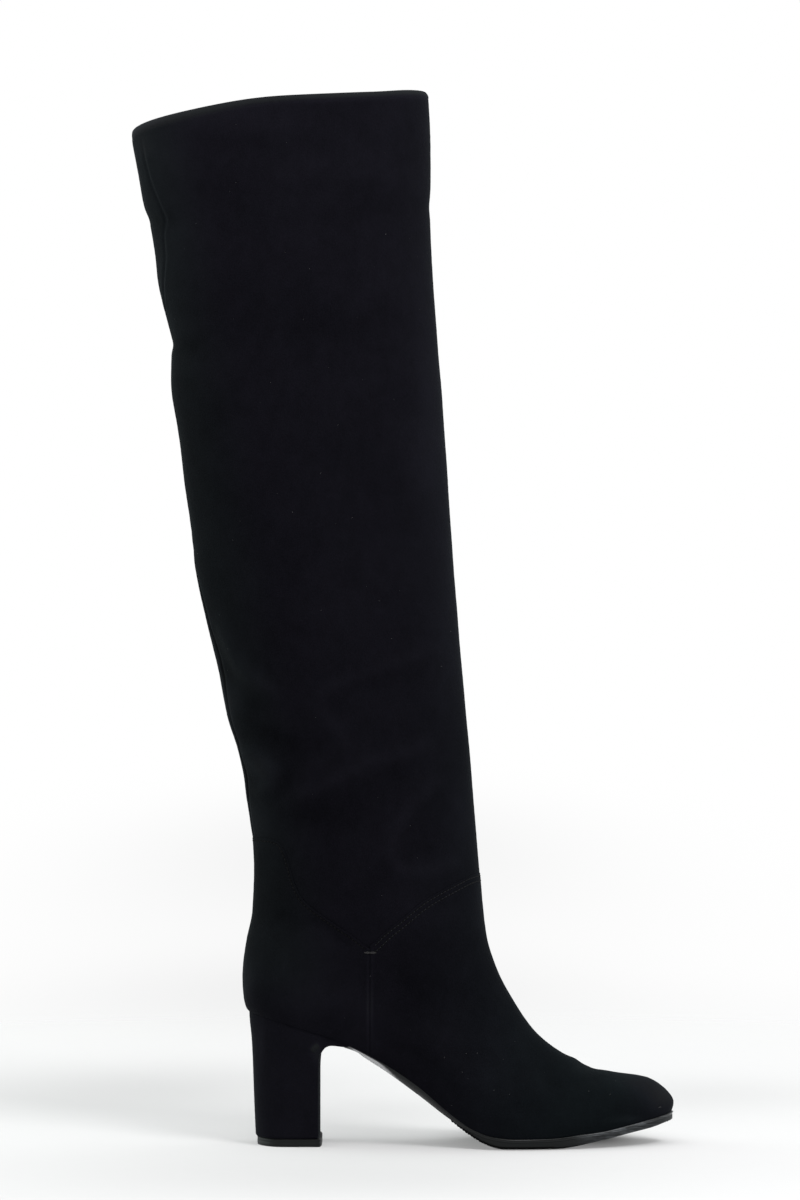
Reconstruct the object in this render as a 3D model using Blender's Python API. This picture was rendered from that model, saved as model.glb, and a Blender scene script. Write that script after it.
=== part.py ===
"""Tall pull-on boot for the right foot: suede upper, thin sole, covered block heel.

Metres, +Z up, +X to the toe, +Y to the inner side of the foot. The origin is under the middle of the boot's box,
on the floor. Sizes below are in millimetres.
"""

from collections import namedtuple

import bmesh
import bpy
import numpy as np

MM = 0.001

# Driving sizes
WALL = 2.0                  # suede and lining together
GAP = 0.3                   # room between pieces that meet
INSOLE = 2.6                # board and sock
LIFT = 4.4                  # rubber under the heel
HEEL_END = -86.5            # back of the feather line, where the upper meets the sole
TOE_END = 151.0             # front of the feather line
BALL_OUTER = 0.63           # widest place of the sole, as a share of its length
BALL_INNER = 0.69
HEEL_WIDEST = 0.14
WAIST = 0.42                # narrowest place of the sole, as a share of its length
WAIST_SPREAD = 0.13
WAIST_OUTER = 7.0           # how far the waist draws in on the outer side
WAIST_INNER = 9.5
TOE_SWING = 3.0             # how far the toe turns to the inner side
TOE_TAPER = 1.5             # 2 is a round toe, 1 a pointed one
ROUND = 2.0                 # power of a plain round end
SQUARE = 3.5                # power of a squarish round end
RIM_POWER = 0.6             # the collar climbs fast at the back, then levels out
RIM_FADE = 500.0            # below this height the rings are flat from back to front
SOLE_START = -32.4          # outsole, just in front of the heel's lip
TREAD_START = 27.0
EDGE_REACH = 0.7            # sole edge past the feather line at the forefoot
TREAD_INSET = 11.0          # flat of the tread, drawn in from its edge
TREAD_ROLL = 0.35           # share of the tread's thickness that its lower edge rolls up

# Mesh density
SIDE_POINTS = 34            # points along each side of a ring, back to front
FINE_BELOW = 320.0          # below this height the upper has two rings to a row of its table
SHARP_ANGLE = 0.7           # radians, edges sharper than this stay sharp
MERGE = 0.01                # ring points closer than this are one point

# Rings of the upper, top to bottom. Back and front points lie on the boot's outline from the side, half widths are
# in the rear and front part of the ring, back_round is the share of the ring that its back end takes to round off,
# and foot is the share by which the ring has turned from a flat oval into the outline of the sole.
Ring = namedtuple("Ring", "name back_x back_z front_x front_z rear_half front_half back_round foot")
RINGS = (
    Ring("collar", -152.2, 568.5, 14.0, 590.0, 48.0, 48.0, 0.50, 0.0),
    Ring("collar_band", -148.0, 544.0, 15.5, 560.0, 47.8, 47.8, 0.50, 0.0),
    Ring("knee", -141.0, 514.0, 15.3, 525.0, 47.4, 47.4, 0.50, 0.0),
    Ring("over_crease", -134.0, 470.0, 17.7, 474.0, 46.8, 46.8, 0.50, 0.0),
    Ring("crease", -129.6, 448.0, 19.6, 447.0, 46.3, 46.3, 0.50, 0.0),
    Ring("under_crease", -130.0, 427.0, 21.6, 424.0, 46.0, 46.0, 0.50, 0.0),
    Ring("calf", -122.8, 375.0, 25.0, 373.0, 44.8, 44.8, 0.50, 0.0),
    Ring("low_calf", -114.7, 314.0, 29.4, 312.0, 42.4, 42.4, 0.50, 0.0),
    Ring("shin", -102.0, 260.0, 34.0, 258.0, 39.6, 39.6, 0.50, 0.0),
    Ring("over_ankle", -88.8, 207.0, 38.6, 206.0, 37.6, 37.6, 0.50, 0.0),
    Ring("ankle", -83.8, 166.0, 42.0, 163.0, 36.4, 36.4, 0.50, 0.0),
    Ring("throat", -84.4, 131.0, 46.8, 117.5, 33.8, 34.6, 0.42, 0.02),
    Ring("instep", -87.6, 114.0, 52.5, 98.2, 32.0, 33.8, 0.30, 0.06),
    Ring("vamp_top", -89.3, 101.0, 63.4, 77.6, 31.0, 33.6, 0.22, 0.14),
    Ring("vamp", -89.6, 94.0, 74.0, 62.8, 30.5, 34.2, 0.18, 0.26),
    Ring("vamp_low", -89.5, 89.0, 87.0, 51.9, 30.1, 35.2, 0.165, 0.40),
    Ring("toe_break", -89.2, 85.5, 103.5, 42.9, 29.7, 36.6, 0.15, 0.55),
    Ring("toe_top", -88.9, 82.5, 120.0, 39.1, 29.2, 38.2, 0.138, 0.68),
    Ring("toe_box", -88.5, 80.0, 137.0, 36.5, 28.7, 39.5, 0.128, 0.80),
    Ring("toe_front", -88.0, 78.0, 148.3, 29.3, 28.0, 40.0, 0.122, 0.90),
    Ring("toe_wall", -87.4, 76.4, 152.2, 22.8, 27.3, 39.2, 0.120, 0.96),
    Ring("feather", HEEL_END, 75.0, TOE_END, 17.8, 26.5, 38.0, 0.115, 1.0),
)

# Sole from heel to toe: height of the feather line and thickness, overhang and bevel of the leather.
Station = namedtuple("Station", "x feather leather reach bevel")
SOLE = (
    Station(-92.0, 76.4, 1.0, -0.7, 1.0),
    Station(-60.0, 67.8, 1.0, -0.7, 1.0),
    Station(-36.0, 59.9, 2.4, -0.7, 2.0),
    Station(-14.0, 49.4, 3.7, -0.3, 4.5),
    Station(8.0, 35.0, 5.0, 0.0, 5.5),
    Station(26.0, 20.1, 3.3, 0.3, 3.0),
    Station(38.0, 11.9, 2.2, EDGE_REACH, 0.6),
    Station(50.0, 7.5, 2.0, EDGE_REACH, 0.3),
    Station(62.0, 6.2, 2.0, EDGE_REACH, 0.3),
    Station(82.0, 6.5, 2.0, EDGE_REACH, 0.3),
    Station(98.0, 8.0, 2.0, EDGE_REACH, 0.3),
    Station(112.0, 9.5, 2.0, EDGE_REACH, 0.3),
    Station(126.0, 12.3, 1.9, EDGE_REACH, 0.3),
    Station(140.0, 15.3, 1.85, EDGE_REACH, 0.3),
    Station(154.0, 18.4, 1.8, EDGE_REACH, 0.3),
)

# Underside of the tread, flat where the forefoot stands
Ground = namedtuple("Ground", "x z")
GROUND = (
    Ground(26.0, 15.4),
    Ground(36.0, 8.4),
    Ground(46.0, 2.5),
    Ground(56.0, 0.0),
    Ground(86.0, 0.0),
    Ground(110.0, 3.9),
    Ground(130.0, 8.1),
    Ground(154.0, 12.7),
)

# Rings of the heel, seat to bottom: height is a share of the way up to the seat
HeelRing = namedtuple("HeelRing", "name height back_x front_x half back_round front_round")
HEEL = (
    HeelRing("seat", 1.0, -85.7, -33.0, 25.8, 25.0, 3.0),
    HeelRing("lip", 0.954, -85.6, -34.6, 25.6, 24.6, 3.0),
    HeelRing("fillet", 0.914, -85.4, -40.2, 25.2, 24.0, 2.6),
    HeelRing("low_fillet", 0.862, -85.0, -43.9, 24.7, 23.0, 2.2),
    HeelRing("breast", 0.78, -84.4, -46.0, 23.9, 21.5, 2.0),
    HeelRing("middle", 0.62, -83.6, -46.6, 22.7, 19.5, 2.0),
    HeelRing("low", 0.30, -82.6, -46.6, 21.4, 17.0, 2.0),
    HeelRing("bottom", 0.0, -81.6, -46.6, 20.9, 16.0, 2.0),
)

# The lift stands back from the heel behind, and a little proud of it in front
LIFT_BACK = -80.7
LIFT_FRONT = -45.6
LIFT_HALF = 20.6
LIFT_BACK_ROUND = 15.5
LIFT_FRONT_ROUND = 2.0

# Colour, roughness
SUEDE = ((0.010, 0.010, 0.012, 1.0), 0.95)
LINING = ((0.016, 0.015, 0.015, 1.0), 0.6)
LEATHER_EDGE = ((0.020, 0.020, 0.021, 1.0), 0.35)
RUBBER = ((0.018, 0.018, 0.018, 1.0), 0.6)


def ease(t):
    """Smooth step from 0 to 1."""
    t = np.clip(t, 0.0, 1.0)
    return t * t * (3.0 - 2.0 * t)


def mix(a, b, share):
    return a + (b - a) * share


def smooth(xs, ys, x):
    """Cubic through the table's points that never overshoots them, read at each x."""
    step = np.diff(xs)
    rise = np.diff(ys) / step
    turns = rise[:-1] * rise[1:] <= 0.0
    total = np.where(turns, 1.0, rise[:-1] + rise[1:])
    middle = np.where(turns, 0.0, 2.0 * rise[:-1] * rise[1:] / total)
    slope = np.concatenate((rise[:1], middle, rise[-1:]))
    x = np.clip(x, xs[0], xs[-1])
    i = np.clip(np.searchsorted(xs, x) - 1, 0, len(step) - 1)
    u = (x - xs[i]) / step[i]
    start = (1.0 - u) ** 2 * ((1.0 + 2.0 * u) * ys[i] + u * step[i] * slope[i])
    end = u ** 2 * ((3.0 - 2.0 * u) * ys[i + 1] - (1.0 - u) * step[i] * slope[i + 1])
    return start + end


def column(table, name):
    return np.array([getattr(row, name) for row in table], dtype=float)


def sole_line(name, x):
    """One column of the sole table at each x."""
    return smooth(column(SOLE, "x"), column(SOLE, name), x)


def ground_line(x):
    return smooth(column(GROUND, "x"), column(GROUND, "z"), x)


def end_round(distance, length, power, root=ROUND):
    """Share of the full width at a distance from a rounded end."""
    left = 1.0 - np.clip(distance / length, 0.0, 1.0)
    return (1.0 - left ** power) ** (1.0 / root)


def ring_half(share, side, rear, front, back_round, foot):
    """Half width of a ring on one side: side is 1 for the inner side of the foot and -1 for the outer."""
    ball = BALL_INNER if side > 0 else BALL_OUTER
    draw_in = WAIST_INNER if side > 0 else WAIST_OUTER
    waist = foot ** 2 * draw_in * np.exp(-((share - WAIST) / WAIST_SPREAD) ** 2)
    width = mix(rear, front, ease((share - HEEL_WIDEST) / (ball - HEEL_WIDEST))) - waist
    heel_end = end_round(share, back_round, ROUND)
    toe_end = end_round(1.0 - share, mix(0.5, 1.0 - ball, foot), mix(ROUND, TOE_TAPER, foot))
    return width * heel_end * toe_end


def swing(share, foot):
    """Sideways place of a ring's middle line."""
    return TOE_SWING * foot * ease((share - WAIST) / (1.0 - WAIST))


def sole_side(x, side, grow):
    """Edge of the sole's outline on one side, grown by so many millimetres past the feather line."""
    feather = RINGS[-1]
    share = np.clip((x - HEEL_END + grow) / (TOE_END - HEEL_END + 2.0 * grow), 0.0, 1.0)
    half = ring_half(share, side, feather.rear_half + grow, feather.front_half + grow, feather.back_round, 1.0)
    return swing(share, 1.0) + side * half


def round_shares():
    """Shares from 0 to 1 that crowd at both ends."""
    return 0.5 - 0.5 * np.cos(np.linspace(0.0, np.pi, SIDE_POINTS))


def toe_shares():
    """Shares from 0 to 1 that crowd at the toe."""
    return np.sin(np.linspace(0.0, np.pi / 2.0, SIDE_POINTS))


def ring_points(x, inner_y, outer_y, z):
    """Closed ring: the inner side from back to front, then the outer side from front to back."""
    inner = np.column_stack((x, inner_y, z))
    outer = np.column_stack((x, outer_y, z))
    return np.concatenate((inner, outer[::-1]))


def collar_share(back_z):
    return ease((back_z - RIM_FADE) / (RINGS[0].back_z - RIM_FADE))


def upper_ring(row):
    """Ring of the upper's outer face."""
    share = round_shares()
    x = mix(row.back_x, row.front_x, share)
    climb = mix(share, share ** RIM_POWER, collar_share(row.back_z))
    flat_z = mix(row.back_z, row.front_z, climb)
    back_height = row.back_z - sole_line("feather", row.back_x)
    front_height = row.front_z - sole_line("feather", row.front_x)
    sole_z = sole_line("feather", x) + mix(back_height, front_height, share)
    z = mix(flat_z, sole_z, row.foot)
    sizes = (row.rear_half, row.front_half, row.back_round, row.foot)
    middle = swing(share, row.foot)
    inner_y = middle + ring_half(share, 1, *sizes)
    outer_y = middle - ring_half(share, -1, *sizes)
    return ring_points(x, inner_y, outer_y, z)


def upper_rows():
    """The rows of the upper, with one more smooth row before each row of the lower shaft and the foot."""
    names = Ring._fields[1:]
    columns = {name: column(RINGS, name) for name in names}
    back_step = np.hypot(np.diff(columns["back_x"]), np.diff(columns["back_z"]))
    front_step = np.hypot(np.diff(columns["front_x"]), np.diff(columns["front_z"]))
    place = np.concatenate(([0.0], np.cumsum(back_step + front_step)))
    fine = columns["back_z"][:-1] < FINE_BELOW
    halfway = (place[:-1] + place[1:]) / 2.0
    rows = []
    for at in np.sort(np.concatenate((place, halfway[fine]))):
        rows.append(Ring("row", *(smooth(place, columns[name], at) for name in names)))
    return rows


def add_material(obj, name, look):
    colour, roughness = look
    material = bpy.data.materials.new(name)
    material.use_nodes = True
    shader = material.node_tree.nodes["Principled BSDF"]
    shader.inputs["Base Color"].default_value = colour
    shader.inputs["Roughness"].default_value = roughness
    shader.inputs["Metallic"].default_value = 0.0
    obj.data.materials.append(material)


def stack(name, rings, capped, look):
    """Object through a stack of rings, top to bottom, closed above and below where it is capped."""
    bm = bmesh.new()
    loops = [[bm.verts.new(point * MM) for point in ring] for ring in rings]
    count = len(rings[0])
    for upper, lower in zip(loops, loops[1:]):
        for i in range(count):
            j = (i + 1) % count
            bm.faces.new((upper[i], upper[j], lower[j], lower[i]))
    if capped:
        for i in range(count // 2 - 1):
            for loop, order in ((loops[0], -1), (loops[-1], 1)):
                corners = (loop[i], loop[i + 1], loop[count - 2 - i], loop[count - 1 - i])
                bm.faces.new(corners[::order])
    bmesh.ops.remove_doubles(bm, verts=bm.verts, dist=MERGE * MM)
    bmesh.ops.dissolve_degenerate(bm, edges=bm.edges, dist=MERGE * MM)
    mesh = bpy.data.meshes.new(name)
    bm.to_mesh(mesh)
    bm.free()
    mesh.shade_smooth()
    mesh.set_sharp_from_angle(angle=SHARP_ANGLE)
    obj = bpy.data.objects.new(name, mesh)
    bpy.context.collection.objects.link(obj)
    add_material(obj, name, look)
    return obj


def make_upper():
    """Hollow wall from the collar to the feather line, open at both ends."""
    upper = stack("upper", [upper_ring(row) for row in upper_rows()], False, SUEDE)
    wall = upper.modifiers.new("wall", "SOLIDIFY")
    wall.thickness = WALL * MM
    wall.offset = -1.0
    wall.use_even_offset = True
    wall.use_quality_normals = True


def make_insole():
    """Board that closes the upper underneath, inside its wall."""
    grow = -(WALL + 2.0 * GAP)
    x = mix(HEEL_END - grow, TOE_END + grow, round_shares())
    bottom = sole_line("feather", x)
    sides = (sole_side(x, 1, grow), sole_side(x, -1, grow))
    rings = [ring_points(x, *sides, bottom + INSOLE), ring_points(x, *sides, bottom)]
    stack("insole", rings, True, LINING)


def sole_ring(start, height, grow):
    """Ring around the sole from a straight back edge to the toe, grown past the feather line."""
    x = mix(start, TOE_END + grow(np.array(TOE_END)), toe_shares())
    past = grow(np.minimum(x, TOE_END))
    return ring_points(x, sole_side(x, 1, past), sole_side(x, -1, past), height(x))


def edge_grow(x):
    return sole_line("reach", x)


def bevel_grow(x):
    return sole_line("reach", x) - sole_line("bevel", x)


def tread_grow(x):
    return bevel_grow(x) - TREAD_INSET


def leather_top(x):
    return sole_line("feather", x) - GAP


def leather_bottom(x):
    return leather_top(x) - sole_line("leather", x)


def tread_top(x):
    return leather_bottom(x) - GAP


def tread_edge(x):
    return mix(ground_line(x), tread_top(x), TREAD_ROLL)


def make_outsole():
    """Leather sole from the heel's lip to the toe, bevelled at the waist."""
    top = sole_ring(SOLE_START, leather_top, edge_grow)
    bottom = sole_ring(SOLE_START, leather_bottom, bevel_grow)
    stack("outsole", [top, bottom], True, LEATHER_EDGE)


def make_tread():
    """Rubber half sole under the forefoot, with its lower edge rolled up."""
    top = sole_ring(TREAD_START, tread_top, bevel_grow)
    edge = sole_ring(TREAD_START, tread_edge, bevel_grow)
    bottom = sole_ring(TREAD_START, ground_line, tread_grow)
    stack("tread", [top, edge, bottom], True, RUBBER)


def block_ring(back_x, front_x, half, back_round, front_round, height):
    """Ring of the heel or its lift: round behind and flat in front."""
    share = round_shares()
    x = mix(back_x, front_x, share)
    behind = end_round(x - back_x, back_round, ROUND)
    before = end_round(front_x - x, front_round, SQUARE, SQUARE)
    y = half * behind * before
    return ring_points(x, y, -y, height(x))


def make_heel():
    """Block from the lift up to the seat, with a lip that runs out under the waist."""
    floor = LIFT + GAP
    rings = []
    for row in HEEL:
        def height(x, share=row.height):
            return mix(floor, sole_line("feather", x) - GAP, share)
        rings.append(block_ring(*row[2:], height))
    stack("heel", rings, True, SUEDE)


def make_top_lift():
    sizes = (LIFT_BACK, LIFT_FRONT, LIFT_HALF, LIFT_BACK_ROUND, LIFT_FRONT_ROUND)
    top = block_ring(*sizes, lambda x: np.full_like(x, LIFT))
    bottom = block_ring(*sizes, np.zeros_like)
    stack("top_lift", [top, bottom], True, RUBBER)


def main():
    for obj in list(bpy.data.objects):
        bpy.data.objects.remove(obj)
    make_upper()
    make_insole()
    make_outsole()
    make_tread()
    make_heel()
    make_top_lift()


main()
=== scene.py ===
"""Looks of a tall black suede boot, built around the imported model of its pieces.

Metres, +Z up, +X to the toe, +Y to the inner side of the foot. Sizes below are in millimetres unless
a comment says otherwise. A place across and up on the boot's side is where it shows in the photograph's view.
"""

from collections import namedtuple

import bpy
import numpy as np
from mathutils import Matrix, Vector
from mathutils.bvhtree import BVHTree


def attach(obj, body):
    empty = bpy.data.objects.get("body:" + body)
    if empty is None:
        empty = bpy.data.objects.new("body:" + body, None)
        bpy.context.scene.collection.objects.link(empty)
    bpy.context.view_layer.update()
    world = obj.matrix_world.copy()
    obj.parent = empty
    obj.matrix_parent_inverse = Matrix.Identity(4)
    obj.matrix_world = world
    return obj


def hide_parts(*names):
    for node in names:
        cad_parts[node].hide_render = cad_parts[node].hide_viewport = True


MM = 0.001
FAR = 1e9
TINY = 1e-6
TONE_NAME = "shading_and_scuff_tone"  # attribute of the meshes that the suede and the sole's edge read: painted highlight, painted shade and painted reflection, and the toe's scuffs

# Camera of the photograph: level, in front of the outer side
CAMERA_X = -1.35
CAMERA_Z = 305.4
CAMERA_AWAY = 2655.0
FRAME_HEIGHT = 675.0  # what the picture's height holds at the boot's middle plane
SENSOR = 36.0

# Driving sizes of the model
WALL = 2.0
GAP = 0.3
LIFT = 4.4
HEEL_END = -86.5
TOE_END = 151.0
BALL_OUTER = 0.63
BALL_INNER = 0.69
HEEL_WIDEST = 0.14
WAIST = 0.42
WAIST_SPREAD = 0.13
WAIST_OUTER = 7.0
WAIST_INNER = 9.5
TOE_SWING = 3.0
TOE_TAPER = 1.5
ROUND = 2.0
SQUARE = 3.5
RIM_POWER = 0.6
RIM_FADE = 500.0
SOLE_START = -32.4
TREAD_START = 27.0
EDGE_REACH = 0.7
TREAD_INSET = 11.0
TREAD_ROLL = 0.14

# Rings of the upper, collar to feather line
Ring = namedtuple("Ring", "name back_x back_z front_x front_z rear_half front_half back_round foot")
RINGS = (
    Ring("collar", -152.2, 568.5, 14, 590, 48, 48, 0.50, 0),
    Ring("collar_band", -148, 544, 15.5, 560, 47.8, 47.8, 0.50, 0),
    Ring("knee", -141, 514, 15.3, 525, 47.4, 47.4, 0.50, 0),
    Ring("over_crease", -134, 470, 17.7, 474, 46.8, 46.8, 0.50, 0),
    Ring("crease", -129.6, 448, 19.6, 447, 46.3, 46.3, 0.50, 0),
    Ring("under_crease", -130, 427, 21.6, 424, 46, 46, 0.50, 0),
    Ring("calf", -122.8, 375, 25, 373, 44.8, 44.8, 0.50, 0),
    Ring("low_calf", -114.7, 314, 29.4, 312, 42.4, 42.4, 0.50, 0),
    Ring("shin", -102, 260, 34, 258, 39.6, 39.6, 0.50, 0),
    Ring("over_ankle", -88.8, 207, 38.6, 206, 37.6, 37.6, 0.50, 0),
    Ring("ankle", -83.8, 166, 42, 163, 36.4, 36.4, 0.50, 0),
    Ring("throat", -84.4, 131, 46.8, 117.5, 33.8, 34.6, 0.42, 0.02),
    Ring("instep", -87.6, 114, 52.5, 98.2, 32, 33.8, 0.30, 0.06),
    Ring("vamp_top", -89.3, 101, 63.4, 77.6, 31, 33.6, 0.22, 0.14),
    Ring("vamp", -89.6, 94, 74, 62.8, 30.5, 34.2, 0.18, 0.26),
    Ring("vamp_low", -89.5, 89, 87, 51.9, 30.1, 35.2, 0.165, 0.40),
    Ring("toe_break", -89.2, 85.5, 103.5, 42.9, 29.7, 36.6, 0.15, 0.55),
    Ring("toe_top", -88.9, 82.5, 120, 39.1, 29.2, 38.2, 0.138, 0.68),
    Ring("toe_box", -88.5, 80, 137, 36.5, 28.7, 39.5, 0.128, 0.80),
    Ring("toe_front", -88, 78, 148.3, 29.3, 28, 40, 0.122, 0.90),
    Ring("toe_wall", -87.4, 76.4, 152.2, 22.8, 27.3, 39.2, 0.120, 0.96),
    Ring("feather", HEEL_END, 75, TOE_END, 17.8, 26.5, 38, 0.115, 1),
)

# Sole from heel to toe: height of the feather line, and overhang and bevel of the leather
Station = namedtuple("Station", "x feather reach bevel")
SOLE = [Station(*row) for row in (
    (-92, 76.4, -0.7, 1), (-60, 67.8, -0.7, 1), (-36, 59.9, -0.7, 2),
    (-14, 49.4, -0.3, 4.5), (8, 35, 0, 5.5), (26, 20.1, 0.3, 3),
    (38, 11.9, EDGE_REACH, 0.6), (50, 7.5, EDGE_REACH, 0.3), (62, 6.2, EDGE_REACH, 0.3),
    (82, 6.5, EDGE_REACH, 0.3), (98, 8, EDGE_REACH, 0.3), (112, 9.5, EDGE_REACH, 0.3),
    (126, 12.3, EDGE_REACH, 0.3), (140, 15.3, EDGE_REACH, 0.3), (154, 18.4, 1.3, 0.3),
)]

# Thickness of the leather sole as it shows
Leather = namedtuple("Leather", "x thick")
LEATHER = [Leather(*row) for row in (
    (-36, 2.6), (-31, 2.15), (-25.5, 1.75), (-22, 2.6), (-14, 3.67), (8, 5), (26, 3.3),
    (38, 2.2), (50, 2), (98, 2), (126, 1.9), (154, 1.8),
)]

# Underside of the tread
Ground = namedtuple("Ground", "x z")
GROUND = [Ground(*row) for row in (
    (26, 15.75), (36, 8.4), (46, 2.5), (56, 0), (86, 0), (110, 3.9), (130, 8.1),
    (154, 12.3),
)]

# Rings of the heel, seat to bottom: height is a share of the way up to the seat
HeelRing = namedtuple("HeelRing", "name height back_x front_x half back_round front_round")
HEEL = (
    HeelRing("seat", 1, -85.7, -27, 25.8, 25, 3),
    HeelRing("lip", 0.954, -85.6, -32.4, 25.6, 24.6, 3),
    HeelRing("throat", 0.936, -85.5, -36.4, 25.4, 24.3, 2.8),
    HeelRing("fillet", 0.914, -85.4, -40.2, 25.2, 24, 2.6),
    HeelRing("low_fillet", 0.862, -85, -43.8, 24.7, 23, 2.2),
    HeelRing("breast", 0.78, -84.4, -46, 23.9, 21.5, 2),
    HeelRing("middle", 0.62, -83.8, -46.6, 22.7, 19.5, 2),
    HeelRing("low", 0.30, -83, -46.6, 21.4, 17, 2),
    HeelRing("bottom", 0, -82.1, -46.6, 20.9, 16, 2),
)
LIFT_BACK = -81.5
LIFT_FRONT = -45.1
LIFT_HALF = 20.6
LIFT_BACK_ROUND = 15.5
LIFT_FRONT_ROUND = 2.0

# Seams as they show from the side: across and up
SIDE_SEAM = -18.2
Seen = namedtuple("Seen", "across up")
VAMP_EDGE = [Seen(*row) for row in (
    (-19, 110.5), (-17, 111.9), (-10.7, 117.9), (-2.2, 124.7), (11.2, 135.7), (27, 144.8),
    (40.5, 151.3), (46, 152.6),
)]
COUNTER_EDGE = [Seen(*row) for row in (
    (-95, 172), (-83, 171.8), (-74.3, 171), (-69.3, 168.9), (-66.1, 163.9), (-63.2, 155.7),
    (-61.1, 147.5), (-57.4, 139.2), (-52.9, 133.9), (-44.6, 127.7), (-36.4, 121.9), (-28.1, 116.6),
    (-20.5, 110.6), (-17, 108.2),
)]

# Back seam of the shaft: how far it wanders to the outer side, in radians around the ring
Wander = namedtuple("Wander", "up turn")
BACK_SEAM = [Wander(*row) for row in (
    (150, 0.16), (186, 0.17), (198, 0.23), (209, 0.26), (222, 0.24), (238, 0.23),
    (254, 0.25), (270, 0.25), (288, 0.23), (306, 0.19), (322, 0.12), (338, 0),
    (370, -0.13), (420, -0.12), (454, 0.02), (472, 0.2), (496, 0.40), (508, 0.43),
    (518, 0.50), (539, 0.40), (551, 0.37), (566, 0.38), (592, 0.36),
)]

# Folds of the shaft and foot. Height is outward, width is the half width, and the line runs across and up.
Fold = namedtuple("Fold", "name side height width line")
OUTER = -1
INNER = 1
BOTH = 0
FOLDS = (
    Fold("rear_ridge", OUTER, 1.7, 4.5, ((-104, 300), (-97, 280), (-88, 264), (-78, 257), (-66, 249))),
    Fold("rear_trough", OUTER, -1.2, 5.5, ((-110, 290), (-102, 268), (-92, 254), (-83, 246), (-72, 240))),
    Fold("heel_bulge", OUTER, 2.3, 6, ((-90, 226), (-80, 215), (-73, 207), (-74, 200), (-82, 194))),
    Fold("heel_bulge_trough", OUTER, -1.3, 5, ((-80, 232), (-68, 227), (-60, 220), (-64, 206), (-70, 194))),
    Fold("ankle_ridge", OUTER, 1.25, 4.8,
         ((-74, 189), (-49, 198), (-37, 204), (-26, 211), (-16, 214), (0, 218), (20, 226))),
    Fold("ankle_trough", OUTER, -1.2, 8, ((-68, 178), (-42, 187), (-24, 197), (-8, 205), (14, 208))),
    Fold("hook_ridge", OUTER, 0.85, 4.5,
         ((-28, 261), (-40, 257), (-47, 250), (-43, 238), (-34, 228), (-32, 214))),
    Fold("hook_trough", OUTER, -0.6, 7, ((-60, 246), (-58, 234), (-50, 224), (-44, 214))),
    Fold("front_fold", OUTER, 1.3, 4.8,
         ((24, 208), (6, 191), (-4, 177), (-8, 166), (-5, 155), (5, 151), (22, 154), (40, 165))),
    Fold("front_fold_trough", OUTER, -1, 7, ((28, 190), (14, 176), (8, 166), (20, 164))),
    Fold("shin_line", OUTER, 0.75, 4.2, ((-50, 251), (-34, 259), (-13, 267), (10, 275), (24, 280))),
    Fold("shin_trough", OUTER, -0.5, 6, ((-30, 250), (-12, 257), (10, 264))),
    Fold("counter_trough", BOTH, -1, 4, ((-56, 127), (-47, 124), (-38, 117), (-27, 108))),
    Fold("counter_dent", OUTER, -0.8, 4.5, ((-70, 130), (-62, 123), (-54, 117))),
    Fold("inner_ankle_ridge", INNER, 1.4, 5,
         ((-74, 196), (-52, 204), (-30, 207), (-8, 204), (16, 210), (36, 220))),
    Fold("inner_ankle_trough", INNER, -1.2, 8, ((-64, 186), (-40, 194), (-18, 195), (6, 196), (24, 200))),
    Fold("inner_rear_ridge", INNER, 1.2, 5, ((-103, 281), (-92, 268), (-80, 258), (-66, 252))),
    Fold("inner_rear_trough", INNER, -1.2, 6, ((-104, 266), (-94, 254), (-82, 245), (-68, 240))),
    Fold("inner_heel_bulge", INNER, 1.6, 6.5, ((-91, 232), (-82, 222), (-74, 214))),
    Fold("inner_front_fold", INNER, 1.2, 5.5, ((30, 190), (14, 180), (0, 166), (2, 154), (20, 150))),
    Fold("inner_hook", INNER, 0.9, 5, ((-18, 256), (-36, 250), (-44, 238), (-36, 222))),
    Fold("notch", BOTH, -1, 3.8, ((-150, 450), (-131, 449), (-124, 448), (-116, 447), (-108, 446))),
    Fold("over_notch", BOTH, 0.6, 6, ((-150, 461), (-131, 460), (-120, 459), (-108, 458))),
    Fold("under_notch", BOTH, 0.5, 6.5, ((-150, 437), (-130, 437), (-118, 436), (-108, 434))),
    Fold("knee_kink", BOTH, -0.7, 4, ((-160, 521), (-142, 520), (-130, 518), (-120, 516))),
    Fold("knee_dent", BOTH, -0.6, 6, ((30, 528), (15, 527), (0, 524), (-14, 520))),
    Fold("thigh_line", OUTER, 0.4, 9, ((-120, 556), (-80, 545), (-40, 549), (0, 541))),
    Fold("thigh_trough", OUTER, -0.4, 11, ((-112, 530), (-76, 519), (-40, 522), (-4, 512))),
    Fold("inner_thigh_line", INNER, 0.5, 10, ((-118, 540), (-78, 536), (-36, 528), (2, 530))),
    Fold("toe_bump", BOTH, 1, 4, ((98, 34), (97, 42), (96.5, 48), (96, 56))),
    Fold("toe_dip", BOTH, -0.55, 3.6, ((109.5, 30), (109, 36), (108.5, 42), (108, 50))),
    Fold("vamp_bend", BOTH, -0.5, 5, ((70, 60), (76, 46), (84, 34), (90, 24))),
    Fold("vamp_bend_ridge", BOTH, 0.4, 5, ((60, 66), (66, 50), (73, 36), (79, 24))),
)
FACING = 0.55  # folds fade where the surface turns away from the side by more than this
FADE_FREE = ("notch", "over_notch", "under_notch", "knee_kink", "knee_dent", "toe_bump", "toe_dip")

# Swell of the shaft's back over the model's outline
Swell = namedtuple("Swell", "up out")
BACK_SWELL = [Swell(*row) for row in (
    (100, -0.2), (122, -0.5), (150, -0.9), (168, -0.4), (180, 0.5), (194, 0.7), (206, 0.1),
    (222, 0.5), (238, 1.5), (250, 0.7), (266, -0.3), (296, -0.7), (320, -0.2), (346, -0.8),
    (372, -0.3), (404, -1.4), (428, -0.3), (437, -0.8), (447, -0.3), (459, -1),
    (472, 0.2), (484, 0.9), (500, 0.2), (512, 0.1), (526, 0.9), (545, 0.2), (560, 0.4),
)]
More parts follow.
